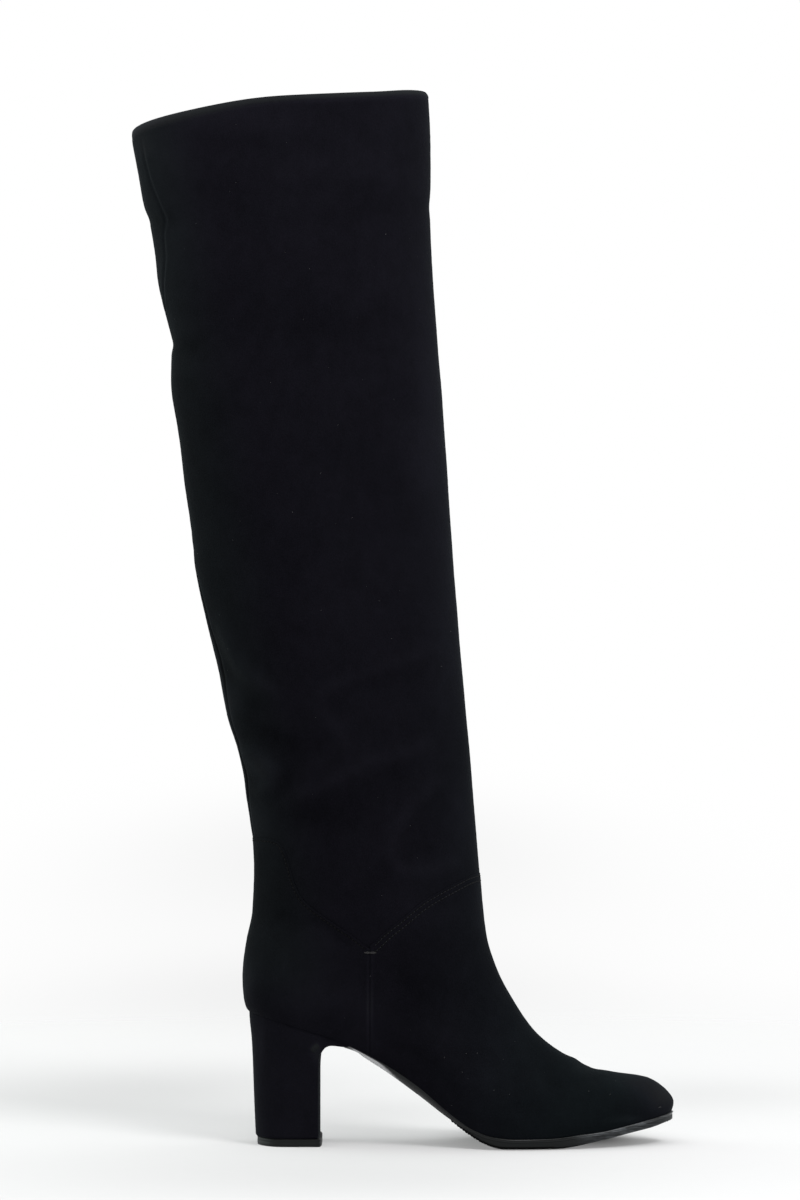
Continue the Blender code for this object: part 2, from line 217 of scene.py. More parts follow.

# Patches of painted highlight and painted shade, lighter where more light falls on the suede and darker where
# less
# falls, and two scuffs at the toe: middle and reach as seen from the side, and how far the tone moves
Tone = namedtuple("Tone", "name side across up wide tall amount")
TONES = (
    Tone("collar_back", OUTER, -134, 558, 14, 20, 0.42),
    Tone("collar_corner", OUTER, -146, 562, 6, 8, 0.8),
    Tone("collar_mid", OUTER, -100, 577, 42, 9, 0.55),
    Tone("shin_front", OUTER, 26, 300, 10, 60, 0.40),
    Tone("calf_front", OUTER, 16, 405, 10, 60, 0.40),
    Tone("knee_back", OUTER, -118, 492, 16, 22, 0.14),
    Tone("calf_back", OUTER, -100, 300, 10, 26, 0.16),
    Tone("ankle", OUTER, -46, 182, 22, 11, -0.20),
    Tone("ankle_front", OUTER, 34, 186, 9, 26, 0.22),
    Tone("shin_dark", OUTER, -66, 226, 12, 7, -0.20),
    Tone("vamp_dark", BOTH, 8, 92, 24, 26, -0.34),
    Tone("throat", BOTH, 44, 134, 5, 15, 0.5),
    Tone("back_high", OUTER, -128, 515, 20, 50, 0.34),
    Tone("calf_dark", OUTER, -46, 447, 30, 26, -0.14),
    Tone("heel_bulge_light", OUTER, -79.5, 212, 6, 7.5, 0.4),
    Tone("heel_bulge_under", OUTER, -74, 196, 9, 5, -0.25),
    Tone("counter_glow", OUTER, -47, 81, 18, 8, 0.2),
    Tone("seam_glow", BOTH, -18, 78, 16, 14, 0.24),
    Tone("rear_light", OUTER, -95, 250, 7, 12, 0.7),
    Tone("rear_low", OUTER, -80, 181, 8, 13, 0.7),
    Tone("counter_edge", BOTH, -88, 93, 4.5, 12, 0.8),
    Tone("toe_tip", BOTH, 147, 25, 10, 8.5, 1.1),
    Tone("counter_low", BOTH, -57, 98, 24, 17, 0.26),
    Tone("vamp_top", BOTH, 14, 130, 24, 15, 0.2),
    Tone("counter_back", BOTH, -80, 118, 8, 26, 0.14),
    Tone("toe", BOTH, 134, 34, 20, 7.5, 0.85),
    Tone("toe_scuff", OUTER, 126.5, 13.6, 6.5, 1.5, 0.75),
    Tone("toe_scuff_tail", OUTER, 116, 12.6, 4, 1.2, 0.35),
)
TONE_OF_FOLD = 0.22  # tone gained, as painted highlight, on each millimetre of a fold's height
TONE_OF_TROUGH = 0.12  # tone lost, as painted shade, on each millimetre of its depth

# Mesh density
SHAFT_COLUMNS = 224
SHAFT_ROWS = 286
VAMP_COLUMNS = 74
VAMP_ROWS = 96
COUNTER_COLUMNS = 60
COUNTER_ROWS = 74
LINING_COLUMNS = 160
LINING_ROWS = 190
RIM_STEPS = 13
SOLE_POINTS = 150  # along each side of the leather sole
BLOCK_POINTS = 90  # along each side of the insole, the heel and the lift
TREAD_ALONG = 440
TREAD_ACROSS = 46
THREAD_STEPS = 6
THREAD_SIDES = 6
TACK_STEPS = 9
LINT_STEPS = 7
FLOOR_POINTS = 96
SAMPLES = 240  # points along a column for measuring its length
EDGE_SAMPLES = 1600  # points along a column for finding where it meets an edge
EDGE_POINTS = 8  # steps between two points of an edge for measuring the distance from it

# Distances from an edge, where the grids are finer
NEAR_STEPS = (0.0, 0.0, 0.12, 0.3, 0.55, 0.85, 1.2, 1.6, 2.0, 2.4, 2.9, 3.5)
EDGE_STEPS = np.array((*NEAR_STEPS, 4.2, 4.8, 5.4, 6.2, 7.5))
SIDE_STEPS = np.array((*NEAR_STEPS, 4.4, 5.6))
SEAM_STEPS = np.array((0.35, 0.7, 1.1, 1.5, 2.0, 2.5, 3.1, 3.8))

# A soft ridge, or a groove or dark line where it is negative. A ramp is a pair of where a change starts and
# its length.
Ridge = namedtuple("Ridge", "at wide high")

# Suede
NAP = 0.4  # its pile over the model's outer face
UNEVEN = 0.16  # slow waves of its surface
FUZZ = 0.05  # fine roughness of its surface
FOLD_ENDS = 6.4  # how steeply a fold rises from its ends
SWELL_RAMP = (0.35, 0.5)  # the back's swell shows where the surface faces backward by this much
CORNER_CUT = 0.25  # share of a fold line's part that is cut at its corners

# Collar
RIM = 1.15  # radius of the folded edge
RIM_TONE = 1.5  # painted highlight along it
RIM_BACK_TONE = 3.4  # and most at the back
RIM_BACK_RAMP = (0.5, 0.5)
RIM_BAND = 6.5
RIM_ARCH = 1.6  # it arches above the model's between back and front
RIM_ARCH_AT = 0.43
RIM_ARCH_WIDE = 0.2
RIM_FRONT = 0.9  # and stands higher at its front
RIM_FRONT_RAMP = (0.82, 0.15)
RIM_RIDGES = (Ridge(2.4, 1.0, 0.10), Ridge(4.2, 0.5, -0.08))
ROLL = 0.8  # how far the edge rolls in
ROLL_FRONT = 3.0  # how far down the roll starts
ROLL_BACK = 6.5
TURN_IN = 14.0  # how far the suede turns in over the collar
OUTSIDE = 0.01  # rows that lie further inward than this are inside the collar

# Rows of the collar: way down from its edge, and inside it the way inward in radii of the edge
COLLAR_INSIDE = ((TURN_IN, 1.4), (10.5, 1.5), (7.5, 1.7), (5.0, 1.9), (3.4, 2.0), (2.2, 2.0))
COLLAR_OUTSIDE = (1.7, 2.3, 2.8, 3.2, 3.6, 4.0, 4.6, 5.4, 6.6, 8.0)

# Back seam of the shaft
SHAFT_RADIUS = 47.0  # makes turns out of the distances beside it
REACH_TURN = 0.01  # turn over which the way around the shaft is measured, in radians
SEAM_REACH = 40.0  # distances from it are cut off here
SEAM_TOP_RAMP = (554.0, 9.0)
SEAM_RIDGES = (Ridge(0.0, 1.4, -0.32), Ridge(2.6, 2.0, 0.14))
PUCKER = 0.11
PUCKER_WIDE = 5.0
SEAM_DARK = 0.45  # tone lost in it, as painted shade in its groove
# deeper painted shade in the groove at these heights
SEAM_DARKER = (Ridge(209.0, 15.0, 0.5), Ridge(254.0, 12.0, 0.4))
SEAM_WIDE = 1.3
SEAM_WIDER = (Ridge(208.0, 15.0, 0.6),)
# painted highlight beside the groove, and along one side of it under the collar
SEAM_LIGHT = (Ridge(3.2, 1.8, 0.3),)
SEAM_TOP_HIGHLIGHT = (Ridge(-0.9, 1.0, 0.35),)
SEAM_TOP_HIGHLIGHT_RAMP = (440.0, 30.0)
SEAM_WEAK = 0.35  # share of its tone away from the ankle, up to the knee
SEAM_WEAK_RAMP = (410.0, 40.0)
ANKLE_RAMP = (170.0, 35.0)
CALF_RAMP = (290.0, 90.0)

# Vamp and counter over the shaft
OVERLAP = 7.0  # how far the shaft runs on below them
SINK = -0.8  # the shaft under them
SINK_RAMP = (-0.3, 1.8)
LAP = 0.30  # their height at their edges
LAP_SETTLED = 0.12  # and further in
LAP_RAMP = (3.0, 13.0)
LAP_ROUND = ((0.0, 0.12, 0.3, 0.55, 0.85), (0.3, 0.58, 0.74, 0.82, 0.85))  # distances and heights
EDGE_UNDER = 0.4  # their first row lies under the sunk shaft
FEATHER_TUCK = 0.12  # they draw in at the sole
FEATHER_BAND = 2.0
VAMP_WAY = 125.0  # half of the way around each, between the side seams
COUNTER_WAY = 110.0
SEAM_HALF = 0.5  # columns with less way than this have no side seam beside them
SEAM_BOTTOM = -0.55  # bottom of the groove of the side seam
SIDE_RIDGES = (Ridge(0.0, 0.45, -0.3), Ridge(1.3, 0.8, 0.30))
# painted highlight along the side seam's raised edges, most half way down
SIDE_LIGHT = Ridge(1.0, 0.9, 0.12)
SIDE_LIGHTEST = (Ridge(80.0, 15.0, 0.6),)
SIDE_LIGHT_RAMP = (50.0, 12.0)

# Stitches, and black marks of painted shade for the needle holes between them
Thread = namedtuple("Thread", "first length radius rise sunk")
STITCH_PITCH = 2.36
HOLE_APART = 0.08  # between a stitch and the needle hole after it
STITCH = Thread(0.4, 0.95, 0.27, 0.28, 0.17)
HOLE = Thread(STITCH.first + STITCH.length + HOLE_APART, 1.22, 0.42, 0.16, 0.20)
THREAD_END = 0.12  # angle at which a stitch comes out of the suede
THREAD_THIN = 0.55  # share of its radius that is left at its ends
STITCH_DIP = 0.2  # the suede is drawn in along a row
STITCH_DIP_WIDE = 0.45
STITCH_SKIP = 9  # columns at each side seam without stitches
VAMP_STITCH_ROWS = (1.6, 4.4)
COUNTER_STITCH_ROWS = (1.7,)

# Lining and insole
LINING_STOP = 1.5  # the lining ends this far above the feather line
LINING_TUCK = 0.1  # it lies this far inside the collar's turned-in edge
LINING_GAP = 0.25  # and further down this far inside the wall
LINING_SETTLES = 120.0
LINING_FOLDS = 0.85  # share of the folds that shows inside

# Edge of the insole sock from its outside: way inward, and height over the feather line
INSOLE_EDGE = ((0.0, 0.0), (0.0, 1.6), (0.25, 2.2), (0.8, 2.6), (1.8, 2.75), (4.0, 2.8), (9.0, 2.65))


def ease(t):
    """Smooth step from 0 to 1."""
    t = np.clip(t, 0.0, 1.0)
    return t * t * (3.0 - 2.0 * t)


def ramp(x, start, length):
    """Smooth step from 0 at the start to 1 a length further on."""
    return ease((x - start) / length)


def mix(a, b, share):
    return a + (b - a) * share


def hump(distance, width):
    """Soft hump, 1 at no distance."""
    return np.exp(-(distance / width) ** 2)


def ridges(distance, profile):
    """Height of ridges that lie side by side at their distances."""
    return sum(ridge.high * hump(distance - ridge.at, ridge.wide) for ridge in profile)


def end_fade(along, steep):
    """Fade of a line towards both its ends, by how far along it a point lies."""
    return np.clip(steep * along * (1.0 - along), 0.0, 1.0)


def smooth(xs, ys, x):
    """Cubic through the table's points that never overshoots them, read at each x."""
    step = np.diff(xs)
    rise = np.diff(ys) / step
    turns = rise[:-1] * rise[1:] <= 0.0
    total = np.where(turns, 1.0, rise[:-1] + rise[1:])
    middle = np.where(turns, 0.0, 2.0 * rise[:-1] * rise[1:] / total)
    slope = np.concatenate((rise[:1], middle, rise[-1:]))
    x = np.clip(x, xs[0], xs[-1])
    i = np.clip(np.searchsorted(xs, x) - 1, 0, len(step) - 1)
    u = (x - xs[i]) / step[i]
    start = (1.0 - u) ** 2 * ((1.0 + 2.0 * u) * ys[i] + u * step[i] * slope[i])
    end = u ** 2 * ((3.0 - 2.0 * u) * ys[i + 1] - (1.0 - u) * step[i] * slope[i + 1])
    return start + end


def column(table, name):
    return np.array([getattr(row, name) for row in table], dtype=float)


def read(table, key, name, x):
    """One column of a table at each x, by its key column."""
    return smooth(column(table, key), column(table, name), x)


def sole_line(name, x):
    return read(SOLE, "x", name, x)


def ground_line(x):
    return read(GROUND, "x", "z", x)


def end_round(distance, length, power, root=ROUND):
    """Share of the full width at a distance from a rounded end."""
    left = 1.0 - np.clip(distance / length, 0.0, 1.0)
    return (1.0 - left ** power) ** (1.0 / root)


def ring_half(share, side, rear, front, back_round, foot):
    """Half width of a ring: side is 1 for the inner side of the foot and -1 for the outer."""
    ball = np.where(side > 0, BALL_INNER, BALL_OUTER)
    draw_in = np.where(side > 0, WAIST_INNER, WAIST_OUTER)
    waist = foot ** 2 * draw_in * np.exp(-((share - WAIST) / WAIST_SPREAD) ** 2)
    width = mix(rear, front, ease((share - HEEL_WIDEST) / (ball - HEEL_WIDEST))) - waist
    heel_end = end_round(share, back_round, ROUND)
    toe_end = end_round(1.0 - share, mix(0.5, 1.0 - ball, foot), mix(ROUND, TOE_TAPER, foot))
    return width * heel_end * toe_end


def swing(share, foot):
    """Sideways place of a ring's middle line."""
    return TOE_SWING * foot * ease((share - WAIST) / (1.0 - WAIST))


def row_places():
    """How far down each row of the upper lies: steps along the back and the front, added up."""
    back_step = np.hypot(np.diff(column(RINGS, "back_x")), np.diff(column(RINGS, "back_z")))
    front_step = np.hypot(np.diff(column(RINGS, "front_x")), np.diff(column(RINGS, "front_z")))
    return np.concatenate(([0.0], np.cumsum(back_step + front_step)))


PLACES = row_places()
LAST_PLACE = PLACES[-1]


def row_value(name, place):
    return smooth(PLACES, column(RINGS, name), place)


def row_place(name):
    return PLACES[[row.name for row in RINGS].index(name)]


def upper_at(place, turn):
    """Points of the upper's outer face. Place is the way down from the collar, and turn goes round from the
    back by the inner side, in radians."""
    share = 0.5 - 0.5 * np.cos(turn)
    side = np.where(np.sin(turn) >= 0.0, 1.0, -1.0)
    row = Ring("row", *(row_value(name, place) for name in Ring._fields[1:]))
    x = mix(row.back_x, row.front_x, share)
    collar = ease((row.back_z - RIM_FADE) / (RINGS[0].back_z - RIM_FADE))
    flat_z = mix(row.back_z, row.front_z, mix(share, share ** RIM_POWER, collar))
    flat_z = flat_z + collar * RIM_ARCH * hump(share - RIM_ARCH_AT, RIM_ARCH_WIDE)
    flat_z = flat_z + collar * RIM_FRONT * ramp(share, *RIM_FRONT_RAMP)
    back_height = row.back_z - sole_line("feather", row.back_x)
    front_height = row.front_z - sole_line("feather", row.front_x)
    sole_z = sole_line("feather", x) + mix(back_height, front_height, share)
    z = mix(flat_z, sole_z, row.foot)
    half = ring_half(share, side, row.rear_half, row.front_half, row.back_round, row.foot)
    return np.stack((x, swing(share, row.foot) + side * half, z), axis=-1)


def upper_normal(place, turn):
    """Outward normals of the upper's outer face."""
    small_place = 0.4
    small_turn = 0.004
    around = upper_at(place, turn + small_turn) - upper_at(place, turn - small_turn)
    down = upper_at(place + small_place, turn) - upper_at(place - small_place, turn)
    normal = np.cross(around, down)
    return normal / np.linalg.norm(normal, axis=-1, keepdims=True)


def upper_face(place, turn):
    """Points and outward normals of the upper's outer face."""
    return upper_at(place, turn), upper_normal(place, turn)


def turn_of(share, side):
    """Turn around the ring of a share from back to front on one side."""
    angle = np.arccos(np.clip(1.0 - 2.0 * share, -1.0, 1.0))
    return np.where(side > 0, angle, 2.0 * np.pi - angle)


def seen(points):
    """Where points of the boot's side show, across and up in its middle plane. The inner side is taken as
    seen from its own side."""
    grow = CAMERA_AWAY / (CAMERA_AWAY - np.abs(points[..., 1]))
    across = CAMERA_X + (points[..., 0] - CAMERA_X) * grow
    up = CAMERA_Z + (points[..., 2] - CAMERA_Z) * grow
    return across, up


def vamp_edge(across):
    return read(VAMP_EDGE, "across", "up", across)


def counter_edge(across):
    return read(COUNTER_EDGE, "across", "up", across)


def lap_edge(across):
    """Edge of the vamp or the counter, whichever is at that place across."""
    return np.where(across > SIDE_SEAM, vamp_edge(across), counter_edge(across))


def seam_share(place):
    """Share from back to front at the side seam."""
    back = row_value("back_x", place)
    return (SIDE_SEAM - back) / (row_value("front_x", place) - back)


def vamp_turn(place, way):
    """Turn of the vamp's columns: way is 1 at the inner side seam, 0 at the front and -1 at the outer one."""
    share = 1.0 - (1.0 - seam_share(place)) * (1.0 - np.cos(way * np.pi / 2.0))
    return turn_of(share, way)


def counter_turn(place, way):
    """Turn of the counter's columns: way is -1 at the outer side seam, 0 at the back, 1 at the inner one."""
    share = seam_share(place) * (1.0 - np.cos(way * np.pi / 2.0))
    return turn_of(share, way)


def shaft_turn(place, way):
    """Turn of the shaft's columns: way is the turn from the back seam."""
    up = upper_at(place, np.zeros_like(place))[..., 2]
    return way - read(BACK_SEAM, "up", "turn", up)


def meet_edge(turn_at, way, edge, below=0.0):
    """Place along each column where it crosses an edge that is drawn as seen from the side."""
    steps = np.linspace(row_place("shin"), LAST_PLACE, EDGE_SAMPLES)
    place = steps[:, None] + np.zeros_like(way)
    across, up = seen(upper_at(place, turn_at(place, way)))
    above = up - edge(across) + below
    first = np.argmax(above < 0.0, axis=0)
    columns = np.arange(len(way))
    over = above[first - 1, columns]
    under = above[first, columns]
    return mix(steps[first - 1], steps[first], over / (over - under))


def lay_rows(start, end, turn_at, way, fixed, count):
    """Places of the rows on each column: at fixed distances from its start, then in even steps to its end."""
    steps = np.linspace(0.0, 1.0, SAMPLES)[:, None]
    place = mix(start, end, steps)
    points = upper_at(place, turn_at(place, way))
    stride = np.linalg.norm(np.diff(points, axis=0), axis=-1)
    length = np.concatenate((np.zeros((1, len(way))), np.cumsum(stride, axis=0)))
    rest = np.linspace(0.0, 1.0, count + 1)[1:, None]
    begin = fixed.max()
    wanted = np.concatenate((fixed[:, None] + 0.0 * way, begin + (length[-1] - begin) * rest))
    laid = [np.interp(wanted[:, i], length[:, i], place[:, i]) for i in range(len(way))]
    return np.stack(laid, axis=1)


def to_line(across, up, line):
    """Distance of each point from a line, and how far along the line it lies, from 0 to 1."""
    corners = np.array(line, dtype=float)
    parts = np.linalg.norm(np.diff(corners, axis=0), axis=1)
    ends = np.concatenate(([0.0], np.cumsum(parts))) / parts.sum()
    nearest = np.full(across.shape, FAR)
    along = np.zeros(across.shape)
    for i, part in enumerate(parts):
        way = (corners[i + 1] - corners[i]) / part
        reach = np.clip((across - corners[i, 0]) * way[0] + (up - corners[i, 1]) * way[1], 0.0, part)
        distance = np.hypot(across - corners[i, 0] - way[0] * reach, up - corners[i, 1] - way[1] * reach)
        closer = distance < nearest
        nearest = np.where(closer, distance, nearest)
        along = np.where(closer, mix(ends[i], ends[i + 1], reach / part), along)
    return nearest, along


def round_corners(line, times=2):
    """The line with its corners cut, so that a fold bends softly."""
    corners = np.array(line, dtype=float)
    for _ in range(times):
        before = mix(corners[:-1], corners[1:], CORNER_CUT)
        after = mix(corners[:-1], corners[1:], 1.0 - CORNER_CUT)
        middle = np.stack((before, after), axis=1).reshape(-1, 2)
        corners = np.concatenate((corners[:1], middle, corners[-1:]))
    return corners


def fold_height(points, normals):
    """Outward height of the listed folds."""
    across, up = seen(points)
    facing = ease(np.abs(normals[..., 1]) / FACING)
    total = np.zeros(across.shape)
    for fold in FOLDS:
        distance, along = to_line(across, up, round_corners(fold.line))
        shape = fold.height * hump(distance, fold.width) * end_fade(along, FOLD_ENDS)
        fade = 1.0 if fold.name in FADE_FREE else facing
        total += shape * fade * on_side(points, fold.side)
    return total


def on_side(points, side):
    return 1.0 if side == BOTH else points[..., 1] * side > 0.0


def body_offset(points, normals, folds):
    """Outward offset of the suede all over: its pile, its folds, the back's swell and a slight unevenness."""
    x, y, z = points[..., 0], points[..., 1], points[..., 2]
    # Waves whose lengths don't fit one another, so that no pattern shows
    uneven = np.sin(z / 17.0 + x / 29.0) * np.sin(x / 21.0 - z / 43.0 + y / 31.0)
    uneven += 0.6 * np.sin(z / 9.0 - x / 12.0) * np.sin(x / 14.0 + z / 23.0 + 1.3)
    fuzz = np.sin(3.1 * z + 7.7 * np.sin(1.9 * x + 2.3 * y))
    fuzz *= np.sin(2.7 * x - 3.3 * y + 5.1 * np.sin(1.3 * z))
    swell = ramp(-normals[..., 0], *SWELL_RAMP) * read(BACK_SWELL, "up", "out", z)
    return NAP + folds + swell + UNEVEN * uneven + FUZZ * fuzz


def shading_and_scuff_tone(points, folds):
    """Painted highlight on the folds and painted shade in their troughs, with the patches of painted light
    and shade and the toe's scuffs, as a tone beside the suede's mean.
    """
    raised = TONE_OF_FOLD * np.maximum(folds, 0.0)
    sunk = TONE_OF_TROUGH * np.minimum(folds, 0.0)
    return raised + sunk + patch_tone(points, TONES)


def patch_tone(points, patches):
    across, up = seen(points)
    tone = np.zeros(across.shape)
    for patch in patches:
        distance = np.hypot((across - patch.across) / patch.wide, (up - patch.up) / patch.tall)
        tone = tone + patch.amount * hump(distance, 1.0) * on_side(points, patch.side)
    return tone


def grid_faces(rows, columns, closed):
    """Faces of a grid of points, row by row, closed around if it is a ring."""
    last = columns if closed else columns - 1
    row, place = np.meshgrid(np.arange(rows - 1), np.arange(last), indexing="ij")
    after = (place + 1) % columns
    here = row * columns
    below = here + columns
    return np.stack((here + place, here + after, below + after, below + place), axis=-1).reshape(-1, 4)


def cap_faces(first, count, order):
    """Faces across a ring of points that runs along one side and back along the other."""
    i = np.arange(count // 2 - 1)
    corners = np.stack((i, i + 1, count - 2 - i, count - 1 - i), axis=-1)
    return first + corners[:, ::order]


def add_object(name, data):
    obj = bpy.data.objects.new(name, data)
    bpy.context.collection.objects.link(obj)
    return obj


def add_piece(name, points, faces, material, slot=None, stands_for=(), tone=None):
    """Object of the boot from points in millimetres, with the tone of painted light and shade that it
    carries. It rides on the one body.
    """
    mesh = bpy.data.meshes.new(name)
    mesh.from_pydata((points.reshape(-1, 3) * MM).tolist(), [], faces.tolist())
    mesh.shade_smooth()
    mesh.materials.append(material)
    if tone is not None:
        mesh.attributes.new(TONE_NAME, "FLOAT", "POINT").data.foreach_set("value", tone.ravel())
    obj = add_object(name, mesh)
    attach(obj, "root")
    if stands_for:
        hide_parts(*stands_for)
    return obj


def shaft_ways():
    """Turns of the shaft's columns from the back seam, finer beside it."""
    near = SEAM_STEPS / SHAFT_RADIUS
    rest = np.linspace(near[-1], 2.0 * np.pi - near[-1], SHAFT_COLUMNS)[1:-1]
    return np.concatenate(([0.0], near, rest, 2.0 * np.pi - near[::-1]))


def collar_rows():
    """Way down from the rim and way inward of the rows over the folded collar, from inside to outside."""
    rows = [(down, RIM * inward) for down, inward in COLLAR_INSIDE]
    for angle in np.linspace(np.pi, 0.0, RIM_STEPS):
        rows.append((RIM * (1.0 - np.sin(angle)), RIM * (1.0 - np.cos(angle))))
    rows += [(down, 0.0) for down in COLLAR_OUTSIDE]
    return np.array(rows)


def from_back_seam(way, reach):
    """Distance around the shaft from its back seam."""
    turn = np.where(way > np.pi, way - 2.0 * np.pi, way)
    return np.clip(turn * reach, -SEAM_REACH, SEAM_REACH)


def seam_run_out(up):
    """1 along the back seam, falling to 0 under the collar's roll."""
    return 1.0 - ramp(up, *SEAM_TOP_RAMP)


def back_seam_tone(distance, up):
    """Painted shade in the back seam's groove, painted highlight beside it over the ankle, and a painted
    highlight along one side under the collar.
    """
    depth = SEAM_DARK + ridges(up, SEAM_DARKER)
    width = SEAM_WIDE + ridges(up, SEAM_WIDER)
    crease = ridges(np.abs(distance), SEAM_LIGHT) - depth * hump(distance, width)
    over_ankle = ramp(up, *ANKLE_RAMP) * (1.0 - ramp(up, *CALF_RAMP))
    elsewhere = SEAM_WEAK * (1.0 - ramp(up, *SEAM_WEAK_RAMP))
    # a painted highlight along one side of the seam under the collar
    scuff_and_highlight = ridges(distance, SEAM_TOP_HIGHLIGHT) * ramp(up, *SEAM_TOP_HIGHLIGHT_RAMP)
    return (crease * mix(elsewhere, 1.0, over_ankle) + scuff_and_highlight) * seam_run_out(up)


def back_seam_offset(distance, up):
    """Outward offset beside the back seam: a soft groove, a ridge on each side and puckers along it."""
    away = np.abs(distance)
    wave = np.sin(up / 2.3 + 2.1 * np.sin(up / 11.0)) * (0.6 + 0.4 * np.sin(up / 37.0))
    pucker = PUCKER * wave * hump(distance, PUCKER_WIDE) * np.clip(away, 0.0, 1.0)
    return (ridges(away, SEAM_RIDGES) + pucker) * seam_run_out(up)


def shaft_offset(points, normals, folds, from_seam):
    across, up = seen(points)
    offset = body_offset(points, normals, folds)
    offset += back_seam_offset(from_seam, points[..., 2])
    return offset + SINK * ramp(lap_distance(across, up), *SINK_RAMP)


def lap_distance(across, up):
    """Distance from the vamp's and counter's edge as seen from the side, positive where they cover it."""
    vamp = [row for row in VAMP_EDGE if row.across > SIDE_SEAM]
    counter = [row for row in COUNTER_EDGE if row.across < SIDE_SEAM]
    distance, _ = to_line(across, up, [tuple(row) for row in counter + vamp])
    return np.where(up < lap_edge(across), distance, -distance)


def around_reach(place, turn):
    """Way around the upper for each radian of turn."""
    chord = upper_at(place, turn + REACH_TURN) - upper_at(place, turn - REACH_TURN)
    return np.linalg.norm(chord, axis=-1) / (2.0 * REACH_TURN)


def rim_offset(collar, turn):
    """Outward offset of the collar's rows: the folded edge rolls in, and furthest at the back."""
    down, inward = collar[:, :1], collar[:, 1:]
    depth = mix(ROLL_FRONT, ROLL_BACK, ease(np.cos(turn)))
    roll = -ROLL * (1.0 - ease(down / depth))
    return np.where(inward < OUTSIDE, roll + ridges(down, RIM_RIDGES), -ROLL) - inward


def rim_tone(collar, turn):
    """Painted highlight on the collar's rows, most at the back."""
    most = mix(RIM_TONE, RIM_BACK_TONE, ramp(np.cos(turn), *RIM_BACK_RAMP))
    return most * (1.0 - ease(collar[:, :1] / RIM_BAND))


def make_shaft(suede):
    """Shaft with its folded collar, its folds and its back seam. It ends under the vamp and the counter."""
    way = shaft_ways()
    end = meet_edge(shaft_turn, way, lap_edge, OVERLAP)
    collar = collar_rows()
    place = lay_rows(np.zeros_like(way), end, shaft_turn, way, collar[:, 0], SHAFT_ROWS)
    turn = shaft_turn(place, way)
    points, normals = upper_face(place, turn)
    folds = fold_height(points, normals)
    from_seam = from_back_seam(way, around_reach(place, turn))
    # painted highlight and shade on the folds, in the patches and along the back seam
    tone = shading_and_scuff_tone(points, folds) + back_seam_tone(from_seam, points[..., 2])
    offset = shaft_offset(points, normals, folds, from_seam)
    rim = slice(len(collar))
    offset[rim] += rim_offset(collar, turn[rim])
    # painted highlight along the folded edge
    tone[rim] += rim_tone(collar, turn[rim])
    points = points + normals * offset[..., None]
    faces = grid_faces(len(points), len(way), True)
    return add_piece("shaft", points, faces, suede, "suede", ("upper",), tone)


def edge_profile(distance, stitch_rows):
    """Height of a lapped edge by the distance from it, with a dip along each row of stitches."""
    distances, heights = LAP_ROUND
    settle = mix(LAP, LAP_SETTLED, ramp(distance, *LAP_RAMP))
    height = np.interp(distance, distances, heights) / heights[-1] * settle
    for row in stitch_rows:
        height = height - STITCH_DIP * hump(distance - row, STITCH_DIP_WIDE)
    return height


def side_tone(distance, up):
    """Painted highlight along the raised edges of the side seam, lightest half way down."""
    amount = SIDE_LIGHT.high + ridges(up, SIDE_LIGHTEST)
    return hump(distance - SIDE_LIGHT.at, SIDE_LIGHT.wide) * amount * ramp(up, *SIDE_LIGHT_RAMP)


def nearest_distance(points, line):
    """Distance of each point from the nearest point of a close row of points."""
    flat = points.reshape(-1, 3)
    best = np.full(len(flat), FAR)
    for corner in line:
        best = np.minimum(best, np.linalg.norm(flat - corner, axis=1))
    return best.reshape(points.shape[:-1])


def closer_points(line, times):
    """A row of points with more points set evenly between each two."""
    share = np.linspace(0.0, 1.0, times + 1)[:-1, None]
    filled = [mix(a, b, share) for a, b in zip(line[:-1], line[1:])]
    return np.concatenate(filled + [line[-1:]])


Panel = namedtuple("Panel", "obj points edge_distance")


def make_panel(name, turn_at, way, edge, rows, stitch_rows, suede):
    """Vamp or counter: a panel lapped over the shaft along its upper edge and butted at the side seams."""
    start = meet_edge(turn_at, way, edge)
    place = lay_rows(start, np.full_like(way, LAST_PLACE), turn_at, way, EDGE_STEPS, rows)
    turn = turn_at(place, way)
    points, normals = upper_face(place, turn)
    edge_distance = nearest_distance(points, closer_points(points[0], EDGE_POINTS))
    side_distance = np.abs(points[..., 0] - SIDE_SEAM) + FAR * (np.abs(way) < SEAM_HALF)
    folds = fold_height(points, normals)
    # painted highlight and shade on the folds and in the patches, and painted highlight along the side seam
    tone = shading_and_scuff_tone(points, folds) + side_tone(side_distance, points[..., 2])
    offset = body_offset(points, normals, folds)
    offset += edge_profile(edge_distance, stitch_rows)
    offset += ridges(side_distance, SIDE_RIDGES)
    offset -= FEATHER_TUCK * ramp(place, LAST_PLACE - FEATHER_BAND, FEATHER_BAND)
    offset[0] = SINK - EDGE_UNDER
    offset[:, (0, -1)] = SEAM_BOTTOM
    points = points + normals * offset[..., None]
    faces = grid_faces(len(points), len(way), False)
    obj = add_piece(name, points, faces, suede, "suede", tone=tone)
    return Panel(obj, points, edge_distance)


def panel_ways(columns, length):
    """Ways of a panel's columns from one side seam to the other, finer at both."""
    near = 1.0 - SIDE_STEPS / length
    rest = np.linspace(near[-1], 0.0, columns + 1)[1:]
    half = np.concatenate((near, rest))
    return np.concatenate((half, -half[-2::-1]))


def make_vamp(suede):
    way = panel_ways(VAMP_COLUMNS, VAMP_WAY)
    return make_panel("vamp", vamp_turn, way, vamp_edge, VAMP_ROWS, VAMP_STITCH_ROWS, suede)


def make_counter(suede):
    way = -panel_ways(COUNTER_COLUMNS, COUNTER_WAY)
    return make_panel("counter", counter_turn, way, counter_edge, COUNTER_ROWS, COUNTER_STITCH_ROWS, suede)


